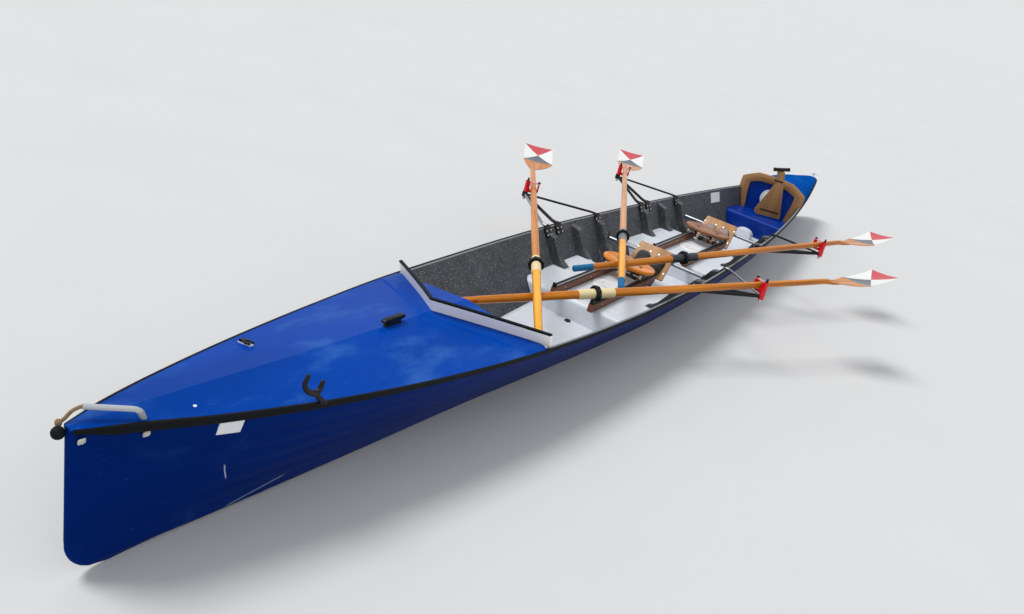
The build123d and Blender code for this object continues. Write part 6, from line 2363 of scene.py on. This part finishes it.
@dataclass
class Rigger:
    """Three stays from the gunwale to the pin of one lock."""

    scull: Scull
    stay_radii: tuple[float, float, float] = (0.010, 0.010, 0.007)
    bolt_aside: float = 0.024
    bolt_up: Pair = (-0.024, 0.002)

    def build(self) -> None:
        """Make the stays, the boss with its pin, and the plates."""
        scull, shape = self.scull, Shape()
        rower, side = scull.rower, scull.side.value
        foot = Vector((HULL.x(rower.pin_aft), side * SIZES.pin_y, scull.sill - 0.0015))
        boss = upright(foot)
        hub_tag, bright_stay = (4, 2) if scull.side is Side.PORT else (0, 0)
        shape.lathe(boss, [(-0.034, 0.0145), (-0.032, 0.017), (-0.004, 0.017), (-0.001, 0.0150),
                           (0.0, 0.0150)], 28, tag=hub_tag)
        shape.lathe(boss, [(-0.002, PIN_RADIUS), (0.0675, PIN_RADIUS), (0.0675, 0.0060), (0.088, 0.0060),
                           (0.0895, 0.0045), (0.0895, 0.0001)], 28)
        shape.lathe(boss, [(-0.046, 0.0115), (-0.0345, 0.0115)], 6, tag=1)
        shape.lathe(boss, [(-0.052, 0.0060), (-0.046, 0.0060)], 16, tag=1)
        shape.lathe(boss, [(0.0680, 0.0105), (0.0710, 0.0105), (0.0735, 0.0088), (0.0735, 0.0061)], 24, tag=2)
        hub = foot - Vector((0, 0, 0.017))
        for number, (offset, radius) in enumerate(zip(rower.stays, self.stay_radii)):
            aft = rower.pin_aft + offset
            half, sheer = HULL.beam(aft), HULL.sheer(aft)
            over = sheer + SIZES.deck + radius + 0.001
            x, inside = HULL.x(aft), half - SIZES.inner
            inner = Vector((x, side * (inside - 0.006), over))
            edge = Vector((x, side * (half + SIZES.fender_width + radius), over))
            start, end = edge.lerp(inner, 0.45), edge.lerp(hub, 0.05)
            bend = corner_curve(start, edge, end, 6)
            line = [inner, *bend, edge.lerp(hub, 0.5), edge.lerp(hub, 0.9), hub]
            flat = [radius] * (len(line) - 2) + [radius * 0.92, radius * 0.75]
            bright = rower is ROWERS[0] and number == bright_stay
            shape.tube(line, flat, 22, tag=3 if bright else 0)
            shape.tube([inner.lerp(edge, -0.04), inner.lerp(edge, 0.20)], radius * 1.22, 20, tag=2)
            lean = math.atan(HULL.lean(aft))
            top = Matrix.Translation((x, side * (inside - 0.004), over))
            plate = top @ Matrix.Rotation(-side * lean, 4, "X") @ Matrix.Translation((0, 0, -0.031))
            shape.block(plate, (0.070, 0.006, 0.062 + radius), 2)
            for across in (-self.bolt_aside, self.bolt_aside):
                for up in self.bolt_up:
                    at = plate @ Vector((across, -side * 0.003, up))
                    shape.lathe(axes(at, (0, -side, 0), (1, 0, 0)), [(0, 0.0062), (0.0045, 0.0062)], 6, tag=1)
        name = scull.name
        shape.build(f"{name}_outrigger", "boat", "rigger_metal", [DARK_STAY, STEEL, BLACK, SILVER, RED],
                    bevel=0.0012, replaces=[f"{name}_rigger"])


SCULLS = (
    Scull(ROWERS[0], Side.PORT, 61.0, 4.1, 1.016, 0.473, VARNISH, VARNISH, CREAM, VARNISH, 0.808,
          feather=10.0),
    Scull(ROWERS[1], Side.PORT, 68.0, 3.7, 0.721, 0.486, VARNISH, VARNISH, DARK_SLEEVE, GRIP_BLUE,
          feather=10.0),
    Scull(ROWERS[0], Side.STARBOARD, 58.0, 2.68, 0.853, 0.486, VARNISH, HONEY, CREAM, HONEY, 0.852, 0.072),
    # the outboard shaft of this scull wears ROSE: varnish with painted pink reflection
    Scull(ROWERS[1], Side.STARBOARD, 64.9, 1.7, 0.514, 0.470, ROSE, OLD_HONEY, GREY_SLEEVE, GRIP_BLUE,
          sleeve_out=0.070),
)


# Camera, light and floor


@dataclass
class Studio:
    """The camera of the picture, soft light and a plain pale floor."""

    place: tuple[float, float, float] = (5.36572, 1.71652, 1.91697)
    right: tuple[float, float, float] = (-0.51183156, 0.82168191, 0.25073352)
    down: tuple[float, float, float] = (0.20808609, 0.40174684, -0.89179575)
    ahead: tuple[float, float, float] = (-0.83350383, -0.40427505, -0.37660729)
    lens: float = 31.735
    floor_reach: float = 600.0
    sky: Color = (0.577, 0.595, 0.620)
    backdrop: Color = srgb(226, 228, 229)
    floor_colors: tuple[Color, Color] = (srgb(206, 206, 205), srgb(200, 200, 199))
    # name, direction, spread in degrees and power of each lamp
    lamps: tuple[tuple[str, tuple[float, float, float], float, float], ...] = (
        ("sun", (-0.30, 0.42, -0.86), 22.0, 2.1),
        ("bounce", (-0.55, -0.60, -0.58), 60.0, 0.5),
    )

    def build_camera(self) -> None:
        """Place the camera from which the picture is seen."""
        data = bpy.data.cameras.new("camera")
        data.lens, data.sensor_width, data.sensor_fit = self.lens, 36.0, "HORIZONTAL"
        data.clip_end = 3000.0
        camera = bpy.data.objects.new("camera", data)
        turn = Matrix((Vector(self.right), -Vector(self.down), -Vector(self.ahead))).transposed().to_4x4()
        camera.matrix_world = Matrix.Translation(Vector(self.place)) @ turn
        bpy.context.scene.collection.objects.link(camera)
        bpy.context.scene.camera = camera

    def build_floor(self) -> None:
        """Lay the floor."""
        reach = self.floor_reach
        mesh = bpy.data.meshes.new("floor_sheet")
        corners = [(-reach, -reach, 0), (reach, -reach, 0), (reach, reach, 0), (-reach, reach, 0)]
        mesh.from_pydata(corners, [], [(0, 1, 2, 3)])
        floor = bpy.data.objects.new("floor_sheet", mesh)
        floor.location = (0, 0, -0.0005)
        bpy.context.scene.collection.objects.link(floor)
        material = bpy.data.materials.new("studio floor")
        material.use_nodes = True
        graph = Graph(material.node_tree)
        shader = material.node_tree.nodes["Principled BSDF"]
        cloud = graph.noise(graph.add("TexCoord").outputs["Object"], 0.8, detail=3.0)
        graph.fill(shader, base_color=graph.mix(cloud, *self.floor_colors), roughness=0.85)
        mesh.materials.append(material)
        floor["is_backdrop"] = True

    def build_light(self) -> None:
        """Set the sky and the lamps."""
        world = bpy.data.worlds.new("soft sky")
        bpy.context.scene.world = world
        world.use_nodes = True
        sky = world.node_tree.nodes["Background"]
        graph = Graph(world.node_tree)
        path = graph.add("LightPath").outputs
        seen = graph.math("MAXIMUM", path["Is Camera Ray"], path["Is Glossy Ray"])
        seen = graph.math("MAXIMUM", seen, path["Is Transmission Ray"])
        graph.fill(sky, color=graph.mix(seen, self.sky, self.backdrop), strength=1.0)
        for name, aim, spread, power in self.lamps:
            data = bpy.data.lights.new(name, "SUN")
            data.angle, data.energy = math.radians(spread), power
            lamp = bpy.data.objects.new(name, data)
            lamp.location = -Vector(aim) * 8
            lamp.rotation_euler = Vector(aim).to_track_quat("-Z", "Y").to_euler()
            bpy.context.scene.collection.objects.link(lamp)
            lamp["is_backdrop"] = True

    def build(self) -> None:
        """Set up the whole studio."""
        bpy.context.scene.view_settings.view_transform = "Standard"
        self.build_camera()
        self.build_floor()
        self.build_light()


def write_size() -> None:
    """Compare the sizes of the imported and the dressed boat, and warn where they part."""
    (cad_low, cad_high), (low, high) = CAD_BOX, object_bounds()
    for axis in range(3):
        allowed = 0.03 * (cad_high[axis] - cad_low[axis]) + 0.010
        apart = max(abs(low[axis] - cad_low[axis]), abs(high[axis] - cad_high[axis]))
        if apart > allowed:
            log.warning("axis %d: %.4f apart, %.4f allowed", axis, apart, allowed)


def main() -> None:
    """Build the studio and every sub-assembly."""
    Studio().build()
    HullSkin().build()
    Foredeck().build()
    Splashboard().build()
    Cockpit().build()
    Fenders().build()
    Stern().build()
    BowFittings().build()
    for rower, seat, shoe in zip(ROWERS, (SEAT_ORANGE, SEAT_BROWN), (SHOE_BLACK, SHOE_ROSE)):
        Slides(rower).build()
        Seat(rower, seat).build()
        Stretcher(rower, shoe).build()
    for scull in SCULLS:
        ScullBuilder(scull).build()
        Rigger(scull).build()
    write_size()


if __name__ == "__main__":
    main()
